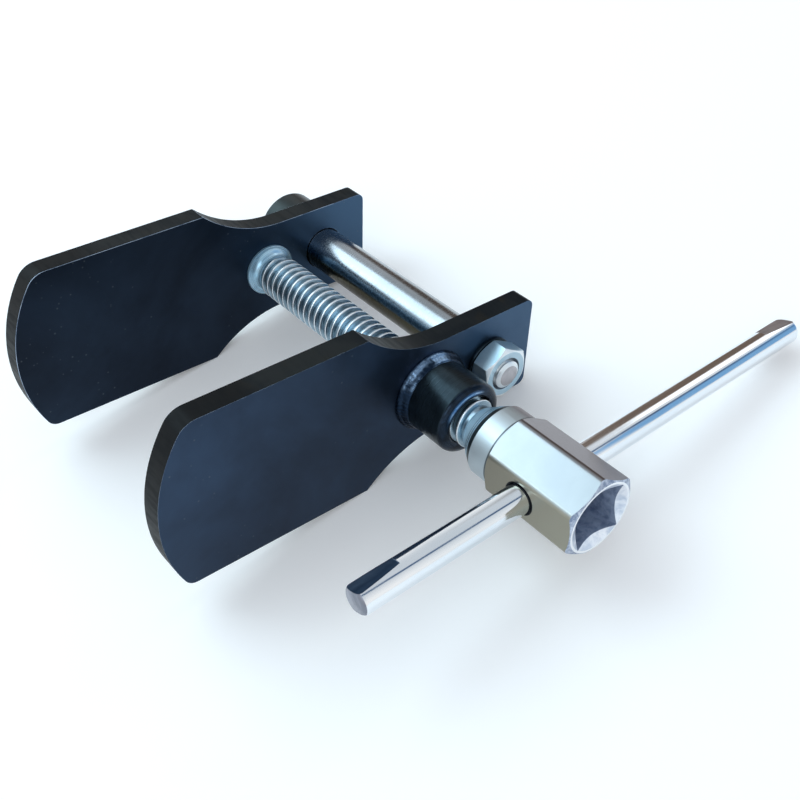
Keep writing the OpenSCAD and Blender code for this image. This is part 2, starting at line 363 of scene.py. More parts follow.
@dataclass(frozen=True)
class Stance:
    """How the upright tool is set down on its corners, base centred on the origin.

    The tool's own frame has the screw on Y, the fixed plate's outer face at Y = 0 and the lobes to -X.
    """

    lie: float = math.radians(10.474968)
    lift: float = 19.502567 * MM
    mid_x: float = 7.00161988 * MM
    mid_y: float = 17.35 * MM

    def matrix(self) -> Matrix:
        """Gives the move from the tool's own frame to the part's frame."""
        return Matrix.Translation((-self.mid_x, -self.mid_y, self.lift)) @ Matrix.Rotation(self.lie, 4, "Y")

    def set_down(self, piece: Piece, node: str, body: Body) -> Piece:
        """Sets a finished piece down and lets it stand for its CAD node.

        Args:
            piece: Piece modelled in the tool's own frame.
            node: CAD node that it stands for.
            body: Body that it rides on.

        Returns:
            The piece.
        """
        Bench.swing(piece, self.matrix())
        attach(piece, body.value)
        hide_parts(node)
        LOG.info("%s: %d faces, stands for %s", piece.name, len(piece.data.polygons), node)
        return piece


STANCE = Stance()


# Wiring of the materials


class Wiring:
    """Short ways to add and join the nodes of one tree."""

    def __init__(self, tree: bpy.types.NodeTree) -> None:
        """Takes the tree to work on."""
        self.tree = tree

    def add(self, kind: str, settings: Optional[Dict] = None, **inputs: object) -> bpy.types.Node:
        """Adds a node.

        Args:
            kind: Blender's name of the node type.
            settings: Properties of the node.
            **inputs: Values or sockets for its inputs, spaces written as underscores.

        Returns:
            The new node.
        """
        node = self.tree.nodes.new(kind)
        for key, value in (settings or {}).items():
            setattr(node, key, value)
        for key, value in inputs.items():
            self.feed(node.inputs[key.replace("_", " ")], value)
        return node

    def feed(self, socket: Socket, value: object) -> None:
        """Sets an input to a value, or links it to an output socket."""
        if isinstance(value, Socket):
            self.tree.links.new(value, socket)
        elif isinstance(value, tuple) and len(value) == 3 and socket.type == "RGBA":
            socket.default_value = (*value, 1.0)
        else:
            socket.default_value = value

    def use(self, group: bpy.types.NodeTree, **inputs: object) -> bpy.types.Node:
        """Places a shared group with its own values."""
        return self.add("ShaderNodeGroup", {"node_tree": group}, **inputs)

    def maths(self, operation: str, first: object, second: object = 0.0) -> Socket:
        """Adds a maths node on one or two values and gives its result."""
        node = self.tree.nodes.new("ShaderNodeMath")
        node.operation = operation
        self.feed(node.inputs[0], first)
        self.feed(node.inputs[1], second)
        return node.outputs[0]

    def product(self, *factors: object) -> Socket:
        """Multiplies two or more values, from the first to the last."""
        result = factors[0]
        for factor in factors[1:]:
            result = self.maths("MULTIPLY", result, factor)
        return result

    def blend(self, factor: object, low: object, high: object) -> Socket:
        """Mixes two colours by a factor and gives the result."""
        node = self.tree.nodes.new("ShaderNodeMix")
        node.data_type = "RGBA"
        self.feed(node.inputs[0], factor)
        self.feed(node.inputs[6], low)
        self.feed(node.inputs[7], high)
        return node.outputs[2]

    def span(
        self, value: object, low: object, high: object, new_low: object = 0.0, new_high: object = 1.0
    ) -> Socket:
        """Maps a value smoothly from one range to another, clamped at both ends."""
        node = self.tree.nodes.new("ShaderNodeMapRange")
        node.interpolation_type = "SMOOTHSTEP"
        for index, item in enumerate((value, low, high, new_low, new_high)):
            self.feed(node.inputs[index], item)
        return node.outputs[0]

    def noise(
        self, place: object, scale: object, detail: float, roughness: float, warp: float = 0.0
    ) -> Socket:
        """Adds soft noise over a place and gives its value."""
        node = self.add("ShaderNodeTexNoise", Vector=place, Scale=scale, Detail=detail, Roughness=roughness)
        self.feed(node.inputs["Distortion"], warp)
        return node.outputs["Fac"]

    def from_axis(self, place: Socket, axis: Point) -> Tuple[Socket, ...]:
        """Measures a place from an axis along Y.

        Args:
            place: Object coordinates.
            axis: A point that the axis goes through.

        Returns:
            Offsets along X and along Z, and the distance from the axis.
        """
        moved = self.add("ShaderNodeVectorMath", {"operation": "SUBTRACT"})
        self.feed(moved.inputs[0], place)
        self.feed(moved.inputs[1], axis)
        x, _, z = self.add("ShaderNodeSeparateXYZ", Vector=moved.outputs[0]).outputs
        flat = self.add("ShaderNodeCombineXYZ", X=x, Z=z)
        length = self.add("ShaderNodeVectorMath", {"operation": "LENGTH"}, Vector=flat.outputs[0])
        return x, z, length.outputs["Value"]


class Effects:
    """Shader groups shared by the finishes, each built once."""

    _built: Dict[str, bpy.types.NodeTree] = {}

    @classmethod
    def group(
        cls, name: str, ins: Sequence[Tuple[str, str, object]], outs: Sequence[str], fill: Callable
    ) -> bpy.types.NodeTree:
        """Builds a group, or gives the one that is there.

        Args:
            name: Name of the group.
            ins: Inputs as (name, FLOAT or VECTOR, default).
            outs: Names of the float outputs.
            fill: Called with (wiring, input sockets, output node) to lay the nodes.

        Returns:
            The node group.
        """
        if name not in cls._built:
            tree = bpy.data.node_groups.new(name, "ShaderNodeTree")
            for title, kind, default in ins:
                socket_type = f"NodeSocket{kind.title()}"
                socket = tree.interface.new_socket(title, in_out="INPUT", socket_type=socket_type)
                if default is not None:
                    socket.default_value = default
            for title in outs:
                tree.interface.new_socket(title, in_out="OUTPUT", socket_type="NodeSocketFloat")
            wires = Wiring(tree)
            inside = wires.add("NodeGroupInput")
            outside = wires.add("NodeGroupOutput")
            fill(wires, inside.outputs, outside)
            cls._built[name] = tree
        return cls._built[name]

    @classmethod
    def blotches(cls) -> bpy.types.NodeTree:
        """Soft patches of heat colour, oil or wear: Vector, Scale, Low, High to Mask."""

        def fill(w: Wiring, ins: bpy.types.NodeOutputs, out: bpy.types.Node) -> None:
            """Lays the nodes."""
            noise = w.noise(ins["Vector"], ins["Scale"], detail=5.0, roughness=0.58, warp=0.4)
            w.feed(out.inputs["Mask"], w.span(noise, ins["Low"], ins["High"]))

        ins = [
            ("Vector", "VECTOR", None), ("Scale", "FLOAT", 30.0),
            ("Low", "FLOAT", 0.35), ("High", "FLOAT", 0.65),
        ]
        return cls.group("blotches", ins, ["Mask"], fill)

    @classmethod
    def grain(cls) -> bpy.types.NodeTree:
        """Fine blasted or oxide grain: Vector, Scale to Height and Mask."""

        def fill(w: Wiring, ins: bpy.types.NodeOutputs, out: bpy.types.Node) -> None:
            """Lays the nodes."""
            fine = w.noise(ins["Vector"], ins["Scale"], detail=3.0, roughness=0.7)
            coarse = w.noise(ins["Vector"], w.product(ins["Scale"], 0.23), detail=2.0, roughness=0.5)
            both = w.maths("MULTIPLY_ADD", coarse, 0.6)
            w.feed(both.node.inputs[2], fine)
            w.feed(out.inputs["Height"], both)
            w.feed(out.inputs["Mask"], w.span(fine, 0.4, 0.65))

        ins = [("Vector", "VECTOR", None), ("Scale", "FLOAT", 1800.0)]
        return cls.group("grain", ins, ["Height", "Mask"], fill)

    @classmethod
    def streaks(cls) -> bpy.types.NodeTree:
        """Drawn or ground lines: Vector, Stretch (a scale for each axis) to Height and Mask."""

        def fill(w: Wiring, ins: bpy.types.NodeOutputs, out: bpy.types.Node) -> None:
            """Lays the nodes."""
            scaled = w.add("ShaderNodeVectorMath", {"operation": "MULTIPLY"})
            w.feed(scaled.inputs[0], ins["Vector"])
            w.feed(scaled.inputs[1], ins["Stretch"])
            noise = w.noise(scaled.outputs[0], 1.0, detail=4.0, roughness=0.65)
            w.feed(out.inputs["Height"], noise)
            w.feed(out.inputs["Mask"], w.span(noise, 0.38, 0.66))

        ins = [("Vector", "VECTOR", None), ("Stretch", "VECTOR", (100.0, 100.0, 100.0))]
        return cls.group("streaks", ins, ["Height", "Mask"], fill)

    @classmethod
    def specks(cls) -> bpy.types.NodeTree:
        """Small pits and grains of dust: Vector, Scale, Size to Mask."""

        def fill(w: Wiring, ins: bpy.types.NodeOutputs, out: bpy.types.Node) -> None:
            """Lays the nodes."""
            cells = w.add("ShaderNodeTexVoronoi", Vector=ins["Vector"], Scale=ins["Scale"], Randomness=1.0)
            dusty = w.noise(ins["Vector"], 60.0, detail=2.0, roughness=0.5)
            dots = w.span(cells.outputs["Distance"], 0.0, ins["Size"], 1.0, 0.0)
            w.feed(out.inputs["Mask"], w.product(dots, w.span(dusty, 0.5, 0.62)))

        ins = [("Vector", "VECTOR", None), ("Scale", "FLOAT", 400.0), ("Size", "FLOAT", 0.18)]
        return cls.group("specks", ins, ["Mask"], fill)

    @classmethod
    def lathe_marks(cls) -> bpy.types.NodeTree:
        """Turning marks about Y, as rings on the barrel and on the ends: Vector, Spacing to Height."""

        def fill(w: Wiring, ins: bpy.types.NodeOutputs, out: bpy.types.Node) -> None:
            """Lays the nodes."""
            x, y, z = w.add("ShaderNodeSeparateXYZ", Vector=ins["Vector"]).outputs
            across = w.maths("MULTIPLY_ADD", z, z)
            w.feed(across.node.inputs[2], w.product(x, x))
            run = w.maths("ADD", y, w.maths("SQRT", across))
            place = w.add("ShaderNodeCombineXYZ", X=w.product(run, ins["Spacing"]))
            w.feed(out.inputs["Height"], w.noise(place.outputs[0], 1.0, detail=3.0, roughness=0.6))

        ins = [("Vector", "VECTOR", None), ("Spacing", "FLOAT", 4000.0)]
        return cls.group("lathe_marks", ins, ["Height"], fill)


@dataclass(frozen=True)
class Finish:
    """Base of the finishes: a metal with its colour, gloss and surface.

    Two colours are mixed over soft patches; the surface is bumped by grain, streaks or lathe marks.
    """

    name: str
    deep: Colour
    light: Colour
    metallic: float = 0.9
    gloss_low: float = 0.28
    gloss_high: float = 0.40
    patch_scale: float = 120.0
    grain_scale: float = 1500.0
    bump: float = 0.25
    bump_depth: float = 0.02 * MM
    sheen: float = field(default=0.5, kw_only=True)

    def material(self) -> bpy.types.Material:
        """Builds the material, or gives the one that is there."""
        found = bpy.data.materials.get(self.name)
        if found is not None:
            return found
        made = bpy.data.materials.new(self.name)
        made.use_nodes = True
        made.diffuse_color = (*self.light, 1.0)
        made.node_tree.nodes.clear()
        wires = Wiring(made.node_tree)
        place = wires.add("ShaderNodeTexCoord").outputs["Object"]
        colour, gloss, height = self.surface(wires, place)
        bumped = wires.add("ShaderNodeBump", Strength=self.bump, Distance=self.bump_depth, Height=height)
        shader = wires.add("ShaderNodeBsdfPrincipled", Base_Color=colour, Metallic=self.metallic)
        wires.feed(shader.inputs["Roughness"], gloss)
        wires.feed(shader.inputs["Specular IOR Level"], self.sheen)
        wires.feed(shader.inputs["Normal"], bumped.outputs[0])
        wires.add("ShaderNodeOutputMaterial", Surface=shader.outputs[0])
        return made

    def patches(self, w: Wiring, place: Socket, finer: float = 1.0, **limits: float) -> Socket:
        """Gives the mask of soft patches, as much finer than the finish's own as is said."""
        node = w.use(Effects.blotches(), Vector=place, Scale=self.patch_scale * finer, **limits)
        return node.outputs["Mask"]

    def grain(self, w: Wiring, place: Socket) -> bpy.types.Node:
        """Gives the grain, with the outputs Height and Mask."""
        return w.use(Effects.grain(), Vector=place, Scale=self.grain_scale)

    def gloss(self, w: Wiring, mask: Socket, limits: Limits = (0.0, 1.0)) -> Socket:
        """Turns a mask into roughness between the finish's two values."""
        return w.span(mask, *limits, self.gloss_low, self.gloss_high)

    def surface(self, w: Wiring, place: Socket) -> Surface:
        """Lays the pattern of the finish.

        Args:
            w: Wiring of the material.
            place: Object coordinates.

        Returns:
            Sockets for colour, roughness and height.
        """
        patch = self.patches(w, place)
        grain = self.grain(w, place)
        return w.blend(patch, self.deep, self.light), self.gloss(w, patch), grain.outputs["Height"]


@dataclass(frozen=True)
class OxidePlate(Finish):
    """Black oxide on rolled plate: cloudy navy black, with a painted sheen that makes it paler towards the
    tail, and a few pale specks.
    """

    haze_finer: float = 6.0
    haze_share: float = 0.25
    tail_sheen: Colour = (0.055, 0.110, 0.190)
    tail_x: Limits = (-14.0 * MM, 22.0 * MM)
    tail_sheen_share: float = 0.75
    speck: Colour = (0.12, 0.14, 0.16)
    speck_share: float = 0.5
    speck_rise: float = 1.2

    def surface(self, w: Wiring, place: Socket) -> Surface:
        """Lays clouds, the painted sheen towards the tail, fine grain and specks; see Finish.surface."""
        cloud = self.patches(w, place, Low=0.3, High=0.72)
        haze = self.patches(w, place, self.haze_finer, Low=0.35, High=0.75)
        specks = w.use(Effects.specks(), Vector=place, Scale=420.0, Size=0.16).outputs["Mask"]
        x = w.add("ShaderNodeSeparateXYZ", Vector=place).outputs[0]
        colour = w.blend(cloud, self.deep, self.light)
        colour = w.blend(w.product(haze, self.haze_share), colour, self.light)
        # Painted sheen: the face turns paler and bluer towards the tail.
        colour = w.blend(w.span(x, *self.tail_x, 0.0, self.tail_sheen_share), colour, self.tail_sheen)
        colour = w.blend(w.product(specks, self.speck_share), colour, self.speck)
        height = w.maths("ADD", self.grain(w, place).outputs["Height"], w.product(specks, self.speck_rise))
        return colour, self.gloss(w, haze), height


@dataclass(frozen=True)
class ShearedEdge(Finish):
    """The blanked edge of the plate: shear marks across its thickness, brown tears, and painted shade that
    darkens the bowed end.
    """

    shear: Point = (600.0, 90.0, 600.0)
    torn_finer: float = 3.1
    brown: Colour = (0.018, 0.015, 0.009)
    brown_share: float = 0.4
    bow_shade: Colour = (0.003, 0.004, 0.005)
    bow_shade_share: float = 0.85
    bow_x: Limits = (-50.0 * MM, -58.0 * MM)

    def surface(self, w: Wiring, place: Socket) -> Surface:
        """Lays shear marks that run through the plate, along Y; see Finish.surface."""
        marks = w.use(Effects.streaks(), Vector=place, Stretch=self.shear)
        torn = self.patches(w, place, self.torn_finer, Low=0.5, High=0.7)
        x = w.add("ShaderNodeSeparateXYZ", Vector=place).outputs[0]
        colour = w.blend(self.patches(w, place), self.deep, self.light)
        colour = w.blend(w.product(torn, self.brown_share), colour, self.brown)
        # Painted shade: the edge darkens towards the bowed end of the lobe.
        colour = w.blend(w.span(x, *self.bow_x, 0.0, self.bow_shade_share), colour, self.bow_shade)
        height = w.maths("ADD", marks.outputs["Height"], self.grain(w, place).outputs["Height"])
        return colour, self.gloss(w, marks.outputs["Mask"]), height


@dataclass(frozen=True)
class TurnedMetal(Finish):
    """Metal as it leaves the lathe: rings along the barrel and across the ends."""

    axis: Point = (0.0, 0.0, 0.0)
    marks: float = 0.5
    spacing: float = 2600.0
    spin: Point = (0.0, 0.0, 0.0)
    grain_share: float = 0.35
    ring_limits: Limits = (0.3, 0.7)

    def surface(self, w: Wiring, place: Socket) -> Surface:
        """Lays lathe marks about the piece's axis, patches and grain; see Finish.surface."""
        turn = Euler(self.spin)
        moved = w.add("ShaderNodeMapping", {"vector_type": "POINT"}, Vector=place)
        moved.inputs["Rotation"].default_value = turn
        moved.inputs["Location"].default_value = turn.to_matrix() @ -Vector(self.axis)
        marks = w.use(Effects.lathe_marks(), Vector=moved.outputs[0], Spacing=self.spacing)
        rings = marks.outputs["Height"]
        height = w.maths("MULTIPLY_ADD", rings, self.marks)
        grain = self.grain(w, place).outputs["Height"]
        w.feed(height.node.inputs[2], w.product(grain, self.grain_share))
        colour = w.blend(self.patches(w, place), self.deep, self.light)
        return colour, self.gloss(w, rings, self.ring_limits), height


@dataclass(frozen=True)
class PaintedTopLightMetal(TurnedMetal):
    """Turned metal with painted light: a mask round the axis that lets its finishes paint light on the upper
    side and shade below.
    """

    up: Limits = (-0.174, 0.985)
    side_limits: Limits = (0.62, 0.95)

    def side(self, w: Wiring, place: Socket) -> Tuple[Socket, Socket]:
        """Measures where a point lies round the axis.

        Args:
            w: Wiring of the material.
            place: Object coordinates.

        Returns:
            Mask that is 1 on top and fades to 0 about 50 degrees from it, and the distance from the axis.
        """
        x, z, radius = w.from_axis(place, self.axis)
        across = w.maths("ADD", w.product(x, self.up[0]), w.product(z, self.up[1]))
        return w.span(w.maths("DIVIDE", across, radius), *self.side_limits), radius


@dataclass(frozen=True)
class PaintedHighlightRim(PaintedTopLightMetal):
    """Black rim with a painted highlight on its upper side: a bright line in a blue band at its outer edge.
    """

    blue: Colour = (0.14, 0.27, 0.50)
    bright: Colour = (0.60, 0.76, 0.92)
    edge_r: float = 7.95 * MM
    edge_w: float = 0.8 * MM
    line_from: float = 0.05
    line_to: float = 0.4
    ragged_scale: float = 500.0

    def surface(self, w: Wiring, place: Socket) -> Surface:
        """Lays the painted highlight, a bright line in a blue band on the upper side; see Finish.surface."""
        colour, rough, height = super().surface(w, place)
        side, radius = self.side(w, place)
        away = w.maths("ABSOLUTE", w.maths("SUBTRACT", radius, self.edge_r))
        ragged = w.use(Effects.blotches(), Vector=place, Scale=self.ragged_scale, Low=0.30, High=0.55)
        band = w.product(side, w.span(away, 0.0, self.edge_w, 1.0, 0.0))
        thin = w.span(away, self.line_from * self.edge_w, self.line_to * self.edge_w, 1.0, 0.0)
        line = w.product(band, thin, ragged.outputs["Mask"])
        return w.blend(line, w.blend(band, colour, self.blue), self.bright), rough, height


@dataclass(frozen=True)
class WeldSkin(PaintedTopLightMetal):
    """Blued weld: streaks that run round the bead, broken by darker scale; their pale colour is a painted
    highlight on top that fades to painted shade below.
    """

    streak_limits: Limits = (0.34, 0.72)
    scale_finer: float = 0.5
    shade_below: float = 0.04

    def surface(self, w: Wiring, place: Socket) -> Surface:
        """Lets the streaks colour the bead, dimmed by painted shade away from the top; see Finish.surface."""
        _, rough, height = super().surface(w, place)
        streak = w.span(height, *self.streak_limits)
        scale = self.patches(w, place, self.scale_finer, Low=0.38, High=0.62)
        side, _ = self.side(w, place)
        # Painted light and shade: the streaks fade from the top to the lower side.
        mask = w.product(streak, scale, w.span(side, 0.0, 1.0, self.shade_below, 1.0))
        return w.blend(mask, self.deep, self.light), rough, height


@dataclass(frozen=True)
class DrawnMetal(Finish):
    """Ground or drawn bar: fine lines along or round it, with a bright skin."""

    turn: float = 0.0
    stretch: Point = (300.0, 300.0, 300.0)

    def surface(self, w: Wiring, place: Socket) -> Surface:
        """Lays lines in the bar's own direction; see Finish.surface."""
        turned = w.add("ShaderNodeMapping", {"vector_type": "POINT"}, Vector=place)
        turned.inputs["Rotation"].default_value = (0.0, -self.turn, 0.0)
        lines = w.use(Effects.streaks(), Vector=turned.outputs[0], Stretch=self.stretch)
        colour = w.blend(self.patches(w, place), self.deep, self.light)
        return colour, self.gloss(w, lines.outputs["Mask"]), lines.outputs["Height"]


@dataclass(frozen=True)
class RodWithPaintedReflections(DrawnMetal):
    """Ground rod with painted reflections on its left side, blue on the side itself and brown below."""

    axis: Point = (0.0, 0.0, 0.0)
    blue: Colour = (0.10, 0.18, 0.26)
    blue_left: Limits = (-0.62, -0.92)
    brown: Colour = (0.075, 0.066, 0.040)
    brown_left: Limits = (-0.3, -0.6)
    brown_up: Limits = (0.45, 0.25)
    skin_r: Limits = (5.6 * MM, 6.0 * MM)

    def surface(self, w: Wiring, place: Socket) -> Surface:
        """Lays the painted reflections over the ground lines, on the barrel alone; see Finish.surface."""
        colour, rough, height = super().surface(w, place)
        x, z, radius = w.from_axis(place, self.axis)
        left = w.maths("DIVIDE", x, radius)
        up = w.maths("DIVIDE", z, radius)
        barrel = w.span(radius, *self.skin_r)
        # Painted reflections: blue on the left side, brown low on the left.
        colour = w.blend(w.product(barrel, w.span(left, *self.blue_left)), colour, self.blue)
        low = w.product(w.span(left, *self.brown_left), w.span(up, *self.brown_up))
        return w.blend(w.product(barrel, low), colour, self.brown), rough, height


@dataclass(frozen=True)
class BlastedMetal(Finish):
    """Pearl chrome over a blasted surface: even fine grain and a soft sheen."""

    def surface(self, w: Wiring, place: Socket) -> Surface:
        """Lays fine grain and faint clouds; see Finish.surface."""
        grain = self.grain(w, place)
        cloud = self.patches(w, place, Low=0.3, High=0.7)
        colour = w.blend(cloud, self.deep, self.light)
        return colour, self.gloss(w, grain.outputs["Mask"]), grain.outputs["Height"]


@dataclass(frozen=True)
class PearlWithPaintedLight(BlastedMetal):
    """Pearl chrome of the head with painted light: painted reflections beside the uppermost flat, a collar
    painted lighter with painted shade on its right and duller, and painted shade at its step to the hexagon.
    """

    axis: Point = (0.0, 0.0, 0.0)
    top_turn: float = 0.0
    painted_left_reflection: Colour = (0.315, 0.300, 0.240)
    painted_right_reflection: Colour = (0.215, 0.188, 0.195)
    reflection_x: Limits = (-2.0 * MM, 2.0 * MM)
    reflection_limits: Limits = (0.84, 0.925)
    hex_y: float = 0.0
    # The collar's colour is painted lighter than the flats, a painted highlight.
    collar: Colour = (0.56, 0.64, 0.68)
    collar_y: Limits = (-0.3 * MM, 0.1 * MM)
    collar_shade: Limits = (0.30, 0.62)
    collar_dull: float = 0.16
    step_shade: Colour = (0.05, 0.06, 0.07)
    step_shade_y: Limits = (0.25 * MM, 0.5 * MM)
    step_shade_share: float = 0.85

    def surface(self, w: Wiring, place: Socket) -> Surface:
        """Lays the painted reflections, the collar and the painted step shade over the blasted finish; see
        Finish.surface.
        """
        colour, rough, height = super().surface(w, place)
        x, z, radius = w.from_axis(place, self.axis)
        y = w.add("ShaderNodeSeparateXYZ", Vector=place).outputs[1]
        up = w.product(z, math.cos(self.top_turn))
        up = w.maths("ADD", w.product(x, math.sin(self.top_turn)), up)
        up = w.maths("DIVIDE", up, radius)
        # Painted reflections on the flats beside the uppermost one: taupe on the left, darker on the right.
        reflection = w.blend(w.span(x, *self.reflection_x), self.painted_left_reflection, self.painted_right_reflection)
        colour = w.blend(w.span(up, *self.reflection_limits, 1.0, 0.0), colour, reflection)
        # The collar is painted lighter, with painted shade towards its right side.
        shade = w.span(w.maths("DIVIDE", x, radius), *self.collar_shade)
        on_collar = w.span(y, self.hex_y + self.collar_y[0], self.hex_y + self.collar_y[1])
        colour = w.blend(on_collar, colour, w.blend(shade, self.collar, self.painted_right_reflection))
        rough = w.maths("ADD", rough, w.product(on_collar, self.collar_dull))
        # Painted shade in the step between the collar and the hexagon.
        by_step_shade = w.span(y, self.hex_y + self.step_shade_y[0], self.hex_y + self.step_shade_y[1], 1.0, 0.0)
        step_shade = w.product(on_collar, by_step_shade, self.step_shade_share)
        return w.blend(step_shade, colour, self.step_shade), rough, height


# Axes and finishes of the tool

GUIDE_X = 20.0 * MM
BAR_Y = -42.1 * MM
HEAD_TURN = math.radians(2.0)
SCREW_AXIS = tuple(STANCE.matrix() @ Vector((0, 0, 0)))
GUIDE_AXIS = tuple(STANCE.matrix() @ Vector((GUIDE_X, 0, 0)))
BAR_AXIS = tuple(STANCE.matrix() @ Vector((0, BAR_Y, 0)))
BAR_LEAN = STANCE.lie - HEAD_TURN
TOP_FLAT_LEAN = BAR_LEAN - math.radians(30.0)

PLATE_FACE = OxidePlate(
    "blackened_plate_face", deep=(0.019, 0.031, 0.055), light=(0.035, 0.062, 0.112), gloss_low=0.34,
    gloss_high=0.46, patch_scale=22.0, bump_depth=0.03 * MM,
)
# Darker copy of the plate face for the sliding plate: painted shade for the space between the plates.
PLATE_FACE_SHADED = replace(
    PLATE_FACE, name="blackened_plate_face_painted_shade", deep=(0.008, 0.013, 0.023), light=(0.018, 0.031, 0.054),
    tail_x=(-22.0 * MM, 24.0 * MM),
)
PLATE_EDGE = ShearedEdge(
    "sheared_plate_edge", deep=(0.004, 0.007, 0.010), light=(0.013, 0.016, 0.017), metallic=0.1,
    gloss_low=0.42, gloss_high=0.54, patch_scale=50.0, grain_scale=1300.0, bump=0.12, bump_depth=0.03 * MM,
    sheen=0.08,
)
# Pale blue-white finish for the plates' rounded rim: a painted highlight.
PLATE_RIM_HIGHLIGHT = Finish(
    "plate_rim_painted_highlight", deep=(0.16, 0.23, 0.34), light=(0.48, 0.60, 0.76), metallic=1.0, gloss_low=0.26,
    patch_scale=160.0, bump_depth=0.03 * MM,
)
BOSS_BLACK = TurnedMetal(
    "turned_black_boss", deep=(0.014, 0.023, 0.030), light=(0.034, 0.054, 0.068), gloss_low=0.24,
    gloss_high=0.38, patch_scale=60.0, grain_scale=1600.0, axis=SCREW_AXIS,
)
# Boss mouth rim with a painted highlight on its upper side.
BOSS_RIM_HIGHLIGHT = PaintedHighlightRim(
    "worn_boss_rim", deep=(0.008, 0.013, 0.020), light=(0.018, 0.032, 0.055), gloss_low=0.20,
    gloss_high=0.32, patch_scale=240.0, bump=0.2, axis=SCREW_AXIS,
)
SLEEVE_BLACK = TurnedMetal(
    "turned_black_sleeve", deep=(0.018, 0.024, 0.025), light=(0.032, 0.042, 0.044), gloss_high=0.42,
    patch_scale=60.0, grain_scale=1600.0, bump=0.3, axis=GUIDE_AXIS,
)
BOSS_WELD = WeldSkin(
    "blued_boss_weld", deep=(0.011, 0.022, 0.043), light=(0.30, 0.46, 0.68), metallic=1.0, gloss_low=0.24,
    patch_scale=420.0, grain_scale=1400.0, bump=0.5, bump_depth=0.06 * MM, axis=SCREW_AXIS, marks=0.6,
    spacing=1500.0,
)
SLEEVE_WELD = replace(BOSS_WELD, name="blued_sleeve_weld", axis=GUIDE_AXIS)
ROD_POLISH = RodWithPaintedReflections(
    "polished_guide_rod", deep=(0.27, 0.30, 0.32), light=(0.34, 0.37, 0.40), metallic=1.0, gloss_low=0.20,
    gloss_high=0.28, patch_scale=25.0, bump=0.04, bump_depth=0.01 * MM,
    stretch=(700.0, 2500.0, 700.0), axis=GUIDE_AXIS,
)
NUT_ZINC = BlastedMetal(
    "zinc_plated_nut", deep=(0.38, 0.56, 0.67), light=(0.52, 0.67, 0.76), metallic=0.7, gloss_high=0.31,
    patch_scale=150.0, bump=0.008,
)
# Near-white finish for the nut's bevels and the stud's side: a painted highlight.
NUT_BEVEL_HIGHLIGHT = BlastedMetal(
    "nut_bevel_painted_highlight", deep=(0.78, 0.86, 0.90), light=(0.90, 0.94, 0.96), metallic=0.55, gloss_high=0.34,
    patch_scale=200.0, bump=0.02,
)
NUT_SINK = BlastedMetal(
    "shaded_nut_sink", deep=(0.030, 0.042, 0.060), light=(0.10, 0.13, 0.17), metallic=0.6, gloss_low=0.32,
    patch_scale=150.0, bump=0.02,
)
STUD_END = TurnedMetal(
    "faced_stud_end", deep=(0.38, 0.37, 0.39), light=(0.52, 0.50, 0.52), metallic=0.8, gloss_low=0.30,
    gloss_high=0.42, patch_scale=200.0, axis=GUIDE_AXIS, marks=0.7, spacing=2200.0,
)
SCREW_GROOVE = TurnedMetal(
    "plated_screw_groove", deep=(0.22, 0.30, 0.36), light=(0.40, 0.52, 0.60), metallic=1.0, gloss_low=0.22,
    gloss_high=0.34, bump=0.15, axis=SCREW_AXIS, spacing=4000.0,
)
# Pale finish for the thread's crests: a painted highlight.
SCREW_CREST_HIGHLIGHT = TurnedMetal(
    "worn_screw_crest", deep=(0.70, 0.76, 0.80), light=(0.84, 0.89, 0.92), gloss_low=0.22, gloss_high=0.34,
    patch_scale=200.0, bump=0.12, axis=SCREW_AXIS, spacing=4000.0,
)
SCREW_FLANGE = TurnedMetal(
    "turned_screw_flange", deep=(0.32, 0.53, 0.68), light=(0.54, 0.74, 0.87), metallic=0.7, gloss_low=0.24,
    gloss_high=0.34, bump=0.15, axis=SCREW_AXIS, spacing=3000.0,
)
# Dark slate colour for the cone's part next to the collar.
CONE_DARK = TurnedMetal(
    "oiled_dark_cone", deep=(0.012, 0.018, 0.021), light=(0.030, 0.042, 0.046), metallic=0.6,
    patch_scale=200.0, bump=0.2, axis=SCREW_AXIS, spacing=3000.0,
)
HEAD_PEARL = PearlWithPaintedLight(
    "pearl_chrome_head", deep=(0.325, 0.360, 0.385), light=(0.360, 0.395, 0.420), metallic=0.95,
    gloss_high=0.31, patch_scale=60.0, bump=0.010, axis=SCREW_AXIS, top_turn=TOP_FLAT_LEAN,
    hex_y=-48.0 * MM,
)
# Pale finish for the head's end face, chamfer and countersink: a painted highlight.
HEAD_LIP_HIGHLIGHT = BlastedMetal(
    "head_lip_painted_highlight", deep=(0.50, 0.57, 0.68), light=(0.82, 0.85, 0.90), metallic=0.75, gloss_high=0.36,
    patch_scale=420.0, bump=0.08,
)
# Near-white finish for the narrow end face: a painted highlight.
HEAD_RING_HIGHLIGHT = BlastedMetal(
    "end_ring_painted_highlight", deep=(0.84, 0.88, 0.92), light=(0.92, 0.94, 0.96), metallic=0.4, gloss_low=0.30,
    gloss_high=0.38, patch_scale=300.0, bump=0.02,
)
HEAD_CHAMFER = BlastedMetal(
    "frosted_end_chamfer", deep=(0.14, 0.19, 0.30), light=(0.56, 0.62, 0.72), metallic=0.7, gloss_low=0.34,
    gloss_high=0.46, patch_scale=900.0, grain_scale=1800.0, bump=0.35, bump_depth=0.04 * MM,
)
SOCKET_PEARL = BlastedMetal(
    "blasted_socket_wall", deep=(0.16, 0.21, 0.32), light=(0.36, 0.43, 0.56), metallic=0.35, gloss_low=0.45,
    gloss_high=0.60, patch_scale=420.0, bump=0.4, bump_depth=0.05 * MM,
)
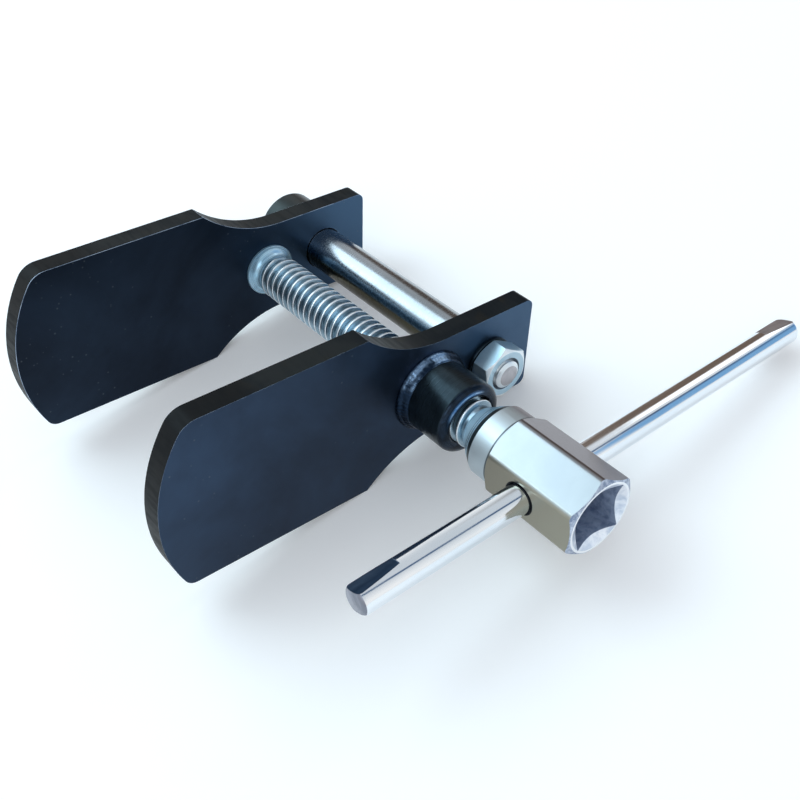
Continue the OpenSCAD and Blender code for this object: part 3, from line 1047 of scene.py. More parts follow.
# Near-black finish for the cross hole's wall and its broken edge: painted shade where the bar fills the hole.
HOLE_SHADE = BlastedMetal(
    "cross_hole_painted_shade", deep=(0.006, 0.007, 0.010), light=(0.014, 0.016, 0.020), metallic=0.1,
    gloss_low=0.45, gloss_high=0.60, patch_scale=200.0, bump=0.2, bump_depth=0.03 * MM, sheen=0.15,
)
BAR_CHROME = DrawnMetal(
    "bright_chrome_bar", deep=(0.74, 0.79, 0.83), light=(0.82, 0.85, 0.88), metallic=1.0, gloss_low=0.08,
    gloss_high=0.16, patch_scale=25.0, bump=0.07, bump_depth=0.01 * MM, turn=BAR_LEAN,
    stretch=(60.0, 1400.0, 1400.0),
)
BAR_TIP = TurnedMetal(
    "turned_bar_tip", deep=(0.20, 0.21, 0.25), light=(0.36, 0.37, 0.42), gloss_high=0.42, bump=0.35,
    bump_depth=0.03 * MM, axis=BAR_AXIS, marks=0.7, spacing=1800.0, spin=(0.0, -BAR_LEAN, math.pi / 2),
)
# Navy colour on the pressed flats: a painted reflection.
BAR_FLAT_REFLECTION = DrawnMetal(
    "pressed_bar_flat_painted_reflection", deep=(0.040, 0.075, 0.135), light=(0.10, 0.15, 0.23), bump=0.3,
    bump_depth=0.03 * MM, turn=BAR_LEAN, stretch=(120.0, 1600.0, 1600.0),
)
# Brown colour on the flats at the +X end: a painted reflection.
BAR_FLAT_BROWN_REFLECTION = DrawnMetal(
    "bar_flat_painted_brown_reflection", deep=(0.120, 0.082, 0.075), light=(0.19, 0.14, 0.125), metallic=0.3, gloss_low=0.34,
    gloss_high=0.46, bump=0.3, bump_depth=0.03 * MM, turn=BAR_LEAN,
    stretch=(120.0, 1600.0, 1600.0),
)


def dress(piece: Piece, *finishes: Finish) -> None:
    """Gives a piece its material slots in order.

    Args:
        piece: The piece.
        *finishes: Finishes for slots 0, 1, 2 and so on.
    """
    piece.data.materials.clear()
    for finish in finishes:
        piece.data.materials.append(finish.material())


def paint_faces(piece: Piece, finish: Finish, wanted: FaceTest) -> None:
    """Gives one of a piece's own finishes to the faces that pass a test of centre and normal."""
    Bench.edit(piece)
    if Bench.pick_faces(piece, wanted):
        piece.active_material_index = piece.data.materials.find(finish.name)
        bpy.ops.object.material_slot_assign()
    bpy.ops.object.mode_set(mode="OBJECT")


# The jaws


@dataclass(frozen=True)
class JawPlate:
    """The stamping that both jaws share: a wide bowed lobe, a scooped neck and a narrow tail."""

    thickness: float = 6.0 * MM
    lobe_half: float = 23.5 * MM
    lobe_reach: float = 77.5 * MM
    bow_r: float = 42.0 * MM
    bow_drop: float = 2.6 * MM
    top_r: float = 6.0 * MM
    low_r: float = 3.5 * MM
    neck_r: float = 36.5 * MM
    neck_x: float = 5.0 * MM
    tail_half: float = 13.75 * MM
    tail_reach: float = 34.9 * MM
    tail_r: float = 2.2 * MM
    rim: float = 0.4 * MM
    bow_steps: int = 48
    neck_steps: int = 28
    corner_steps: int = 10
    tail_steps: int = 8

    def draw(self, name: str, y0: float) -> Piece:
        """Draws the outline arc by arc and pulls it to a plate.

        Args:
            name: Name of the new object.
            y0: Where its outer face lies along Y.

        Returns:
            The plate without holes.
        """
        bow_x = self.bow_r - self.lobe_reach
        top_x, top_a = self.corner(bow_x, self.top_r, self.bow_drop)
        low_x, low_a = self.corner(bow_x, self.low_r, -self.bow_drop)
        top_z, low_z = self.lobe_half - self.top_r, self.lobe_half - self.low_r
        neck_z = self.tail_half + self.neck_r
        neck = math.degrees(math.acos((neck_z - self.lobe_half) / self.neck_r))
        tip_x = self.neck_x - self.neck_r * math.sin(math.radians(neck))
        tail_x = self.tail_reach - self.tail_r
        tail_z = self.tail_half - self.tail_r
        begin = math.radians(180 - top_a)
        start = (bow_x + self.bow_r * math.cos(begin), y0, self.bow_r * math.sin(begin) - self.bow_drop)
        piece = Bench.start_point(name, start)
        Bench.sweep((bow_x, y0, -self.bow_drop), top_a + low_a, self.bow_steps)
        Bench.sweep((low_x, y0, -low_z), 90 - low_a, self.corner_steps)
        Bench.pull((tip_x - low_x, 0, 0))
        Bench.sweep((self.neck_x, y0, -neck_z), -neck, self.neck_steps)
        Bench.pull((tail_x - self.neck_x, 0, 0))
        Bench.sweep((tail_x, y0, -tail_z), 90, self.tail_steps)
        Bench.pull((0, 0, 2 * tail_z))
        Bench.sweep((tail_x, y0, tail_z), 90, self.tail_steps)
        Bench.pull((self.neck_x - tail_x, 0, 0))
        Bench.sweep((self.neck_x, y0, neck_z), -neck, self.neck_steps)
        Bench.pull((top_x - tip_x, 0, 0))
        Bench.sweep((top_x, y0, top_z), 90 - top_a, self.corner_steps)
        Bench.close_outline(self.thickness)
        return piece

    def corner(self, bow_x: float, radius: float, drop: float) -> Tuple[float, float]:
        """Finds where a corner's arc meets the bowed end.

        Args:
            bow_x: Centre of the bow along X.
            radius: Radius of the corner.
            drop: How far the bow's centre lies from the middle, away from this corner.

        Returns:
            X of the corner's centre, and the bow's angle up to the corner in degrees.
        """
        rise = self.lobe_half - radius + drop
        run = math.sqrt((self.bow_r - radius) ** 2 - rise**2)
        return bow_x - run, math.degrees(math.atan2(rise, run))

    def finish(self, piece: Piece, face: Finish) -> None:
        """Dresses a drilled plate: oxide faces, sheared edges, and a rim painted with a highlight."""
        dress(piece, face, PLATE_EDGE, PLATE_RIM_HIGHLIGHT)
        paint_faces(piece, PLATE_EDGE, lambda centre, normal: abs(normal.y) < 0.5)
        # The rounding of the edges takes the rim's painted highlight.
        Bench.break_edges(piece, self.rim, slot=piece.data.materials.find(PLATE_RIM_HIGHLIGHT.name))


@dataclass(frozen=True)
class WeldBead:
    """A rippled fillet of weld round a tube that stands on a plate.

    The shape holds the bead's section as shares of its width, out from the tube, and of its height.
    """

    width: float = 1.5 * MM
    height: float = 3.2 * MM
    ripples: int = 60
    steps_a_ripple: int = 3
    ripple_rise: float = 0.11 * MM
    unevenness: float = 0.10 * MM
    plate_share: float = 0.05
    shape: Tuple[Tuple[float, float], ...] = (
        (-0.12, -0.10), (1.0, -0.10), (0.99, 0.10), (0.86, 0.30), (0.70, 0.38), (0.60, 0.40),
        (0.46, 0.56), (0.30, 0.80), (0.14, 0.94), (0.0, 0.98), (-0.12, 0.98),
    )

    def lay(self, name: str, x: float, tube_r: float, y0: float, side: Side, skin: WeldSkin) -> Piece:
        """Lays the bead.

        Args:
            name: Name of the new object.
            x: Where the tube's axis crosses X.
            tube_r: Radius of the tube.
            y0: The plate's face along Y.
            side: Side of the plate that the tube stands on.
            skin: Finish of the bead.

        Returns:
            The bead.
        """
        s = side.value
        low = self.plate_share * self.height
        outline = [(tube_r + a * self.width, y0 + s * b * self.height) for a, b in self.shape]
        steps = self.steps_a_ripple * self.ripples
        piece = Bench.turn(name, outline, x, steps, ring=True)
        Bench.edit(piece)
        step = TAU / steps

        def crest(point: Vector) -> bool:
            """Picks the outside points of the rings that become ripples."""
            if (point.y - y0) * s < low:
                return False
            turn = math.atan2(point.z, point.x - x) / step
            return round(turn) % self.steps_a_ripple == 0

        Bench.pick_points(piece, crest)
        bpy.ops.transform.shrink_fatten(value=self.ripple_rise)
        Bench.pick_points(piece, lambda point: (point.y - y0) * s > low)
        bpy.ops.transform.vertex_random(offset=self.unevenness, uniform=0.6, normal=0.4, seed=7)
        bpy.ops.object.mode_set(mode="OBJECT")
        smooth = piece.modifiers.new("smooth", "SUBSURF")
        smooth.levels = 1
        smooth.render_levels = 1
        Bench.apply(piece, smooth)
        Bench.hold(piece)
        bpy.ops.object.shade_smooth()
        dress(piece, skin)
        return piece


@dataclass(frozen=True)
class HexBlank:
    """A hexagon along Y, one flat facing +X, its corners trimmed by a turned cone at both ends."""

    af: float
    y0: float
    y1: float
    face_share: float
    corner: float = 0.0
    corner_steps: int = 5
    spare: float = 0.5 * MM
    trim_angle: float = math.radians(30)

    def make(self, name: str) -> Piece:
        """Makes the blank.

        Args:
            name: Name of the new object.

        Returns:
            The trimmed hexagon.
        """
        y0, y1 = self.y0, self.y1
        Bench.clear()
        bpy.ops.mesh.primitive_cylinder_add(
            vertices=6, radius=self.af / math.sqrt(3), depth=y1 - y0, location=(0, (y0 + y1) / 2, 0),
            rotation=(math.pi / 2, 0, 0),
        )
        piece = Bench.adopt(name)
        if self.corner > 0:
            Bench.edit(piece)
            Bench.pick_edges(piece, lambda a, b: abs(a.y - b.y) > 0.5 * (y1 - y0))
            bpy.ops.mesh.bevel(offset=self.corner, segments=self.corner_steps, affect="EDGES")
            bpy.ops.object.mode_set(mode="OBJECT")
        reach = self.af / math.sqrt(3) + self.spare
        face = self.face_share * self.af / 2
        drop = (reach - face) * math.tan(self.trim_angle)
        outline = [(0, y0), (face, y0), (reach, y0 + drop), (reach, y1 - drop), (face, y1), (0, y1)]
        return Bench.combine(piece, Bench.turn("trim", outline, steps=FINE_STEPS), "INTERSECT")


@dataclass(frozen=True)
class FixedJaw:
    """Fixed plate with its threaded boss, the guide rod and the rod's nut."""

    plate: JawPlate = JawPlate()
    weld: WeldBead = WeldBead()
    boss_r: float = 9.75 * MM
    boss_len: float = 15.5 * MM
    mouth_round: float = 2.4 * MM
    mouth_along: float = 1.8 * MM
    mouth_steps: int = 8
    mouth_trim: float = 0.7 * MM
    bore_r: float = 6.41 * MM
    screw_hole_r: float = 6.61 * MM
    guide_x: float = GUIDE_X
    guide_r: float = 6.2 * MM
    guide_len: float = 86.0 * MM
    stud_r: float = 4.0 * MM
    stud_hole_r: float = 4.2 * MM
    stud_slack: float = 0.1 * MM
    stud_proud: float = 1.2 * MM
    stud_grooves: int = 3
    stud_first: float = 0.95 * MM
    stud_pitch: float = 1.1 * MM
    nut_af: float = 13.4 * MM
    nut_h: float = 6.0 * MM
    nut_turn: float = math.radians(58.0)
    washer_r: float = 7.2 * MM
    washer_t: float = 1.0 * MM
    edge: float = 0.12 * MM

    def build(self) -> None:
        """Builds and sets down all pieces of the fixed jaw."""
        body = Body.FIXED
        STANCE.set_down(self.make_plate(), "fixed_plate", body)
        STANCE.set_down(self.make_boss(), "screw_boss", body)
        bead = self.weld.lay("boss_weld_bead", 0.0, self.boss_r, 0.0, Side.HEAD, BOSS_WELD)
        STANCE.set_down(bead, "boss_weld", body)
        STANCE.set_down(self.make_rod(), "guide_rod", body)
        STANCE.set_down(self.make_washer(), "nut_washer", body)
        STANCE.set_down(self.make_nut(), "guide_nut", body)

    def make_plate(self) -> Piece:
        """Makes the fixed plate with its two holes."""
        piece = self.plate.draw("fixed_jaw_plate", 0.0)
        end = self.plate.thickness + MARGIN
        Bench.drill(piece, 0.0, self.screw_hole_r, -MARGIN, end)
        Bench.drill(piece, self.guide_x, self.stud_hole_r, -MARGIN, end)
        self.plate.finish(piece, PLATE_FACE)
        return piece

    def make_boss(self) -> Piece:
        """Turns the boss that the screw runs in, its mouth rounded; its thread isn't shown."""
        r, end, bore = self.boss_r, -self.boss_len, self.bore_r
        across, along, trim = self.mouth_round, self.mouth_along, self.mouth_trim
        outline = [(bore, 0.0), (r, 0.0)]
        for step in range(self.mouth_steps + 1):
            a = math.radians(90 - 90 / self.mouth_steps * step)
            outline.append((r - across + across * math.sin(a), end + along - along * math.cos(a)))
        outline += [(bore + trim, end), (bore, end + trim)]
        piece = Bench.turn("threaded_boss", outline, ring=True)
        dress(piece, BOSS_BLACK, BOSS_RIM_HIGHLIGHT)
        rim = end + 0.9 * along
        # The mouth's rounding takes the rim with the painted highlight.
        paint_faces(piece, BOSS_RIM_HIGHLIGHT, lambda centre, normal: centre.y < rim and normal.y < -0.12)
        Bench.break_edges(piece, self.edge, segments=2)
        return piece

    def make_rod(self) -> Piece:
        """Turns the guide rod with its shoulder and stud."""
        near = self.plate.thickness
        tip = -self.washer_t - self.nut_h - self.stud_proud
        end = near + self.guide_len
        s, g = self.stud_r, self.guide_r
        t = s - self.stud_slack
        outline = [(0.0, tip - 0.05 * MM), (0.68 * t, tip), (0.74 * t, tip + 0.10 * MM), (t, tip + 0.75 * MM)]
        for turn in range(self.stud_grooves):
            y = tip + self.stud_first + self.stud_pitch * turn
            outline += [(t, y), (0.88 * t, y + 0.45 * MM), (0.88 * t, y + 0.55 * MM), (t, y + 1.0 * MM)]
        outline += [(t, near), (g, near), (g, end - MM), (g - MM, end), (0.0, end)]
        piece = Bench.turn("polished_rod", outline, self.guide_x)
        dress(piece, ROD_POLISH, NUT_BEVEL_HIGHLIGHT, STUD_END)
        face = tip + 0.05 * MM
        # The stud's side takes the painted highlight.
        paint_faces(piece, NUT_BEVEL_HIGHLIGHT, lambda centre, normal: centre.y < near)
        paint_faces(piece, STUD_END, lambda centre, normal: centre.y < face)
        Bench.break_edges(piece, self.edge, segments=2)
        return piece

    def make_washer(self) -> Piece:
        """Turns the black washer under the nut."""
        s, r, t = self.stud_r, self.washer_r, -self.washer_t
        piece = Bench.turn("stud_washer", [(s, t), (r, t), (r, 0), (s, 0)], self.guide_x, ring=True)
        dress(piece, BOSS_BLACK)
        Bench.break_edges(piece, 0.2 * MM)
        return piece

    def make_nut(self) -> Piece:
        """Makes the hexagon nut with trimmed corners and a countersunk thread."""
        h, s = self.nut_h, self.stud_r
        slim = s - self.stud_slack
        piece = HexBlank(self.nut_af, -h, 0.0, 0.95).make("stud_nut")
        outline = [
            (0, -h - MM), (s + 1.6 * MM, -h - MM), (s + 0.6 * MM, -h),
            (slim, 0.7 * MM - h), (slim, MM), (0, MM),
        ]
        Bench.combine(piece, Bench.turn("sink", outline, steps=64), "DIFFERENCE")
        dress(piece, NUT_ZINC, NUT_SINK, NUT_BEVEL_HIGHLIGHT)
        Bench.break_edges(piece, 0.22 * MM, limit=18.0)

        def in_sink(centre: Vector, normal: Vector) -> bool:
            """Picks the faces of the countersink and the bore, which look inwards."""
            return normal.x * centre.x + normal.z * centre.z < -0.3 * MM

        # The nut's bevels take the painted highlight.
        paint_faces(piece, NUT_BEVEL_HIGHLIGHT, lambda centre, normal: -0.97 < normal.y < -0.10)
        paint_faces(piece, NUT_SINK, in_sink)
        place = Matrix.Translation((self.guide_x, -self.washer_t, 0))
        Bench.swing(piece, place @ Matrix.Rotation(self.nut_turn, 4, "Y"))
        return piece


@dataclass(frozen=True)
class SlidingJaw:
    """Sliding plate with the guide sleeve that is welded on its back."""

    plate: JawPlate = JawPlate()
    weld: WeldBead = WeldBead()
    inner_y: float = 72.6 * MM
    journal_hole_r: float = 4.56 * MM
    guide_x: float = GUIDE_X
    rod_hole_r: float = 6.45 * MM
    sleeve_r: float = 9.9 * MM
    sleeve_len: float = 14.0 * MM
    sleeve_bore_r: float = 6.26 * MM
    bore_trim: float = 0.6 * MM

    def build(self) -> None:
        """Builds and sets down all pieces of the sliding jaw."""
        body = Body.SLIDING
        back = self.inner_y + self.plate.thickness
        STANCE.set_down(self.make_plate(), "sliding_plate", body)
        STANCE.set_down(self.make_sleeve(), "guide_sleeve", body)
        bead = self.weld.lay("sleeve_weld_bead", self.guide_x, self.sleeve_r, back, Side.BACK, SLEEVE_WELD)
        STANCE.set_down(bead, "sleeve_weld", body)

    def make_plate(self) -> Piece:
        """Makes the sliding plate with the journal's hole and the rod's hole."""
        y0, y1 = self.inner_y - MARGIN, self.inner_y + self.plate.thickness + MARGIN
        piece = self.plate.draw("sliding_jaw_plate", self.inner_y)
        Bench.drill(piece, 0.0, self.journal_hole_r, y0, y1)
        Bench.drill(piece, self.guide_x, self.rod_hole_r, y0, y1)
        # The sliding plate takes the darker face, which is painted shade.
        self.plate.finish(piece, PLATE_FACE_SHADED)
        return piece

    def make_sleeve(self) -> Piece:
        """Turns the guide sleeve."""
        start = self.inner_y + self.plate.thickness
        end = start + self.sleeve_len
        r, bore, c, trim = self.sleeve_r, self.sleeve_bore_r, MM, self.bore_trim
        outline = [(bore, start), (r, start), (r, end - c), (r - c, end)]
        outline += [(bore + trim, end), (bore, end - trim)]
        piece = Bench.turn("turned_sleeve", outline, self.guide_x, ring=True)
        dress(piece, SLEEVE_BLACK)
        Bench.break_edges(piece, 0.15 * MM, segments=2)
        return piece


# Screw, head and bar


@dataclass(frozen=True)
class ScrewUnit:
    """Lead screw, its washer behind the sliding plate, and the drive head."""

    crest_r: float = 6.35 * MM
    pitch: float = 2.54 * MM
    depth: float = 1.1 * MM
    flange_r: float = 7.7 * MM
    flange_rim: float = 0.9 * MM
    flare: float = 2.6 * MM
    journal_r: float = 4.5 * MM
    shank_r: float = 5.0 * MM
    shank_len: float = 14.0 * MM
    throat_y: float = -18.7 * MM
    throat_r: float = 5.6 * MM
    throat_len: float = 3.4 * MM
    throat_curve: Tuple[Tuple[float, float], ...] = ((6.9 * MM, 2.1 * MM), (6.1 * MM, 0.8 * MM))
    cone_r: float = 7.9 * MM
    cone_len: float = 2.9 * MM
    cone_split: float = 0.45
    collar_r: float = 9.6 * MM
    collar_len: float = 5.7 * MM
    inner_y: float = 72.6 * MM
    plate_t: float = 6.0 * MM
    float_gap: float = 0.1 * MM
    washer_r: float = 8.0 * MM
    washer_t: float = 1.5 * MM
    peen_r: float = 6.0 * MM
    peen_h: float = 2.0 * MM
    hex_af: float = 19.5 * MM
    hex_len: float = 27.2 * MM
    head_turn: float = HEAD_TURN
    hex_corner: float = 1.0 * MM
    socket: float = 12.8 * MM
    socket_depth: float = 11.0 * MM
    socket_corner: float = 0.35 * MM
    sink_r: float = 8.9 * MM
    sink_angle: float = math.radians(30)
    bar_from_mouth: float = 15.8 * MM
    bar_hole_r: float = 3.83 * MM
    bar_hole_edge: float = 0.5 * MM
    foot_sunk: float = 0.35 * MM
    crest_round: float = 0.12 * MM
    steps: int = 48
    fade_steps: int = 16

    def build(self) -> None:
        """Builds and sets down the screw, the washer and the head."""
        body = Body.SCREW
        STANCE.set_down(self.make_screw(), "lead_screw", body)
        STANCE.set_down(self.make_washer(), "thrust_washer", body)
        STANCE.set_down(self.make_head(), "drive_head", body)

    def thread(self, start: float, end: float) -> Piece:
        """Winds the thread's ridge and lets it fade in and out over a third of a turn.

        Args:
            start: Where the ridge begins along Y.
            end: Where it ends.

        Returns:
            The ridge, its foot sunk into the core.
        """
        top, root, soft = self.crest_r, self.crest_r - self.depth, self.crest_r - self.crest_round
        foot = root - self.foot_sunk
        wide, narrow = 0.31 * self.pitch, 0.11 * self.pitch
        shoulder, flat = narrow + 0.04 * MM, narrow - 0.08 * MM
        sections = round(self.steps * (end - start) / self.pitch)
        half = [(foot, wide), (root, 0.95 * wide), (soft, shoulder), (top, flat)]
        profile = [(r, -y) for r, y in half] + half[::-1]
        ridge = Bench.start_point("thread_ridge", (profile[0][0], start + profile[0][1], 0))
        for before, after in zip(profile, profile[1:]):
            Bench.pull((after[0] - before[0], after[1] - before[1], 0))
        bpy.ops.mesh.select_all(action="SELECT")
        bpy.ops.mesh.edge_face_add()
        bpy.ops.mesh.delete(type="ONLY_FACE")
        bpy.ops.object.mode_set(mode="OBJECT")
        wind = ridge.modifiers.new("wind", "SCREW")
        wind.axis = "Y"
        wind.angle = TAU * sections / self.steps
        wind.screw_offset = self.pitch * sections / self.steps
        wind.steps = sections
        wind.render_steps = sections
        wind.use_smooth_shade = True
        Bench.apply(ridge, wind)
        Bench.edit(ridge)
        for index in range(self.fade_steps):
            share = (index + 0.35) / self.fade_steps
            for number in (index, sections - index):
                self.fade_ring(ridge, start, number, share, foot)
        bpy.ops.mesh.select_mode(type="VERT")
        bpy.ops.mesh.select_all(action="DESELECT")
        bpy.ops.mesh.select_non_manifold(extend=False)
        bpy.ops.mesh.edge_face_add()
        Bench.tidy_normals()
        return ridge

    def fade_ring(
        self, ridge: Piece, start: float, number: int, share: float, foot: float
    ) -> None:
        """Draws one section of the ridge towards the core.

        Args:
            ridge: The ridge, open in edit mode.
            start: Where the ridge begins along Y.
            number: Number of the section, counted from the start.
            share: How much of the ridge's height stays.
            foot: Radius of the ridge's foot.
        """
        centre_y = start + self.pitch * number / self.steps
        angle = TAU * number / self.steps
        across = Vector((math.cos(angle), 0, -math.sin(angle)))
        reach = 0.45 * self.pitch

        def on_section(point: Vector) -> bool:
            """Picks the points of this section above the foot."""
            flat = Vector((point.x, 0, point.z))
            if abs(point.y - centre_y) > reach or flat.length < foot + 0.05 * MM:
                return False
            return flat.normalized().dot(across) > math.cos(0.3 * TAU / self.steps)

        if Bench.pick_points(ridge, on_section):
            keep = (foot + share * (self.crest_r - foot)) / self.crest_r
            bpy.ops.transform.resize(value=(keep, 1, keep), center_override=(0, 0, 0))

    def make_screw(self) -> Piece:
        """Turns the core with flange, journal and peened end, and winds the thread on it."""
        root = self.crest_r - self.depth
        rim = self.inner_y - self.float_gap
        flare_y = rim - self.flange_rim - self.flare
        peen = self.inner_y + self.plate_t + 2 * self.float_gap + self.washer_t
        c = self.throat_y
        s = self.shank_r
        outline: List[Tuple[float, float]] = [
            (0.0, c - self.shank_len), (s, c - self.shank_len), (s, c), (root, c), (root, flare_y),
        ]
        for degrees in range(10, 91, 10):
            a = math.radians(degrees)
            out = (self.flange_r - root) * (1 - math.cos(a))
            outline.append((root + out, flare_y + self.flare * math.sin(a)))
        p, h = self.peen_r, self.peen_h
        outline += [(self.flange_r, rim), (self.journal_r, rim), (self.journal_r, peen), (p, peen)]
        outline += [(p, peen + 0.5 * h), (0.9 * p, peen + 0.75 * h), (0.7 * p, peen + 0.92 * h)]
        outline.append((0.0, peen + h))
        core = Bench.turn("threaded_screw", outline)
        Bench.break_edges(core, 0.15 * MM, segments=2, limit=40.0)
        dress(core, SCREW_GROOVE, SCREW_CREST_HIGHLIGHT, SCREW_FLANGE)
        first, last = flare_y - 0.5 * MM, rim + 0.1 * MM
        paint_faces(core, SCREW_FLANGE, lambda centre, normal: first < centre.y < last)
        ridge = self.thread(c + 0.32 * MM, flare_y - 0.35 * self.pitch)
        dress(ridge, SCREW_GROOVE, SCREW_CREST_HIGHLIGHT)
        high = self.crest_r - 0.09 * MM
        # The crests take the painted highlight.
        paint_faces(ridge, SCREW_CREST_HIGHLIGHT, lambda centre, normal: math.hypot(centre.x, centre.z) > high)
        Bench.hold(core)
        ridge.select_set(True)
        bpy.ops.object.join()
        Bench.shade(core, 40.0)
        return core

    def make_washer(self) -> Piece:
        """Turns the washer."""
        y0 = self.inner_y + self.plate_t + self.float_gap
        y1 = y0 + self.washer_t
        j, r = self.journal_r, self.washer_r
        piece = Bench.turn("back_washer", [(j, y0), (r, y0), (r, y1), (j, y1)], ring=True)
        dress(piece, NUT_ZINC)
        Bench.break_edges(piece, 0.25 * MM)
        return piece

    def make_head(self) -> Piece:
        """Makes the hexagon head with throat, collar, square socket, countersink and cross hole."""
        collar_y = self.throat_y - self.throat_len - self.cone_len
        hex_y = collar_y - self.collar_len
        mouth = hex_y - self.hex_len
        piece = HexBlank(self.hex_af, mouth, hex_y, 0.97, self.hex_corner).make("hex_drive_head")
        cone_y = self.throat_y - self.throat_len
        split_y = cone_y - self.cone_split * self.cone_len
        Bench.combine(piece, self.make_collar(hex_y, collar_y, cone_y, split_y), "UNION")
        Bench.combine(piece, self.make_square(mouth), "DIFFERENCE")
        side, deep = self.socket, self.socket_depth
        narrow = side / 2 - MM
        slope = math.tan(self.sink_angle)
        sunk = mouth + (self.sink_r - narrow) * slope
        outline = [(0, mouth - MM), (self.sink_r + MM / slope, mouth - MM), (narrow, sunk), (0, sunk)]
        Bench.combine(piece, Bench.turn("sink", outline, steps=FINE_STEPS), "DIFFERENCE")
        bar_y = mouth + self.bar_from_mouth
        Bench.clear()
        bpy.ops.mesh.primitive_cylinder_add(
            vertices=ROUND_STEPS, radius=self.bar_hole_r, depth=2 * self.hex_af, location=(0, bar_y, 0),
            rotation=(0, math.pi / 2, 0),
        )
        Bench.combine(piece, Bench.adopt("cross_drill"), "DIFFERENCE")
        dress(
            piece, HEAD_PEARL, SOCKET_PEARL, HEAD_LIP_HIGHLIGHT, CONE_DARK, SCREW_FLANGE, HOLE_SHADE, HEAD_RING_HIGHLIGHT,
            HEAD_CHAMFER,
        )
        near_mouth = mouth + 5 * MM

        def in_socket(centre: Vector, normal: Vector) -> bool:
            """Picks the socket's walls and floor."""
            inside = max(abs(centre.x), abs(centre.z)) < side / 2 + 0.02 * MM
            return inside and mouth + 0.1 * MM < centre.y < mouth + deep + MM

        def on_mouth(centre: Vector, normal: Vector) -> bool:
            """Picks the end face, its chamfer and the countersink."""
            return centre.y < near_mouth and normal.y < -0.2

        def on_ring(centre: Vector, normal: Vector) -> bool:
            """Picks the narrow end face that is left round the countersink."""
            return centre.y < mouth + 0.2 * MM and normal.y < -0.9

        def on_chamfer(centre: Vector, normal: Vector) -> bool:
            """Picks the turned chamfer of the hexagon's end."""
            outward = centre.x * normal.x + centre.z * normal.z > 0
            return outward and centre.y < near_mouth and -0.9 <= normal.y < -0.2

        def in_cross_hole(centre: Vector, normal: Vector) -> bool:
            """Picks the wall of the cross hole and the broken edge round it."""
            off = math.hypot(centre.y - bar_y, centre.z)
            return 0.94 * self.bar_hole_r < off < self.bar_hole_r + 0.6 * MM and abs(normal.x) < 0.99

        def round_hole(one: Vector, two: Vector) -> bool:
            """Picks the edges where the cross hole meets the flats."""
            ring = all(abs(math.hypot(p.y - bar_y, p.z) - self.bar_hole_r) < 0.03 * MM for p in (one, two))
            return ring and abs(one.x - two.x) < 0.01 * MM and abs(one.x) > 0.45 * self.hex_af

        Bench.edit(piece)
        Bench.pick_edges(piece, round_hole)
        bpy.ops.mesh.bevel(offset=self.bar_hole_edge, segments=2, affect="EDGES")
        bpy.ops.object.mode_set(mode="OBJECT")
        Bench.break_edges(piece, 0.3 * MM, limit=20.0)
        cone_from = collar_y + 0.2 * MM
        # The head's end takes its painted highlights.
        paint_faces(piece, HEAD_LIP_HIGHLIGHT, on_mouth)
        paint_faces(piece, HEAD_RING_HIGHLIGHT, on_ring)
        paint_faces(piece, HEAD_CHAMFER, on_chamfer)
        paint_faces(piece, SOCKET_PEARL, in_socket)
        # Painted shade in the cross hole.
        paint_faces(piece, HOLE_SHADE, in_cross_hole)
        paint_faces(piece, CONE_DARK, lambda centre, normal: cone_from < centre.y < split_y)
        paint_faces(piece, SCREW_FLANGE, lambda centre, normal: centre.y > split_y)
        Bench.swing(piece, Matrix.Rotation(-self.head_turn, 4, "Y"))
        return piece

    def make_collar(self, hex_y: float, collar_y: float, cone_y: float, split_y: float) -> Piece:
        """Turns the collar behind the hexagon, with its cone and throat.

        Args:
            hex_y: Where the hexagon ends.
            collar_y: Where the collar ends.
            cone_y: Where the cone ends.
            split_y: Where the cone's dark part ends.

        Returns:
            The turned form.
        """
        r, t, throat = self.collar_r, self.throat_y, self.throat_curve
        split_r = self.cone_r + self.cone_split * (r - self.cone_r)
        outline = [(0, hex_y - MM), (r, hex_y - MM), (r, collar_y), (split_r, split_y), (self.cone_r, cone_y)]
        outline += [(radius, t - back) for radius, back in throat] + [(self.throat_r, t), (0, t)]
        return Bench.turn("collar", outline, steps=FINE_STEPS)

    def make_square(self, mouth: float) -> Piece:
        """Makes the cutter of the square socket, its long edges rounded.

        Args:
            mouth: The head's end face along Y.

        Returns:
            The cutter.
        """
        side, deep = self.socket, self.socket_depth
        Bench.clear()
        scale = (side, deep + 2 * MM, side)
        bpy.ops.mesh.primitive_cube_add(size=1, location=(0, mouth + deep / 2 - MM, 0), scale=scale)
        square = Bench.adopt("square")
        Bench.edit(square)
        Bench.pick_edges(square, lambda a, b: abs(a.y - b.y) > deep)
        bpy.ops.mesh.bevel(offset=self.socket_corner, segments=3, affect="EDGES")
        bpy.ops.object.mode_set(mode="OBJECT")
        return square


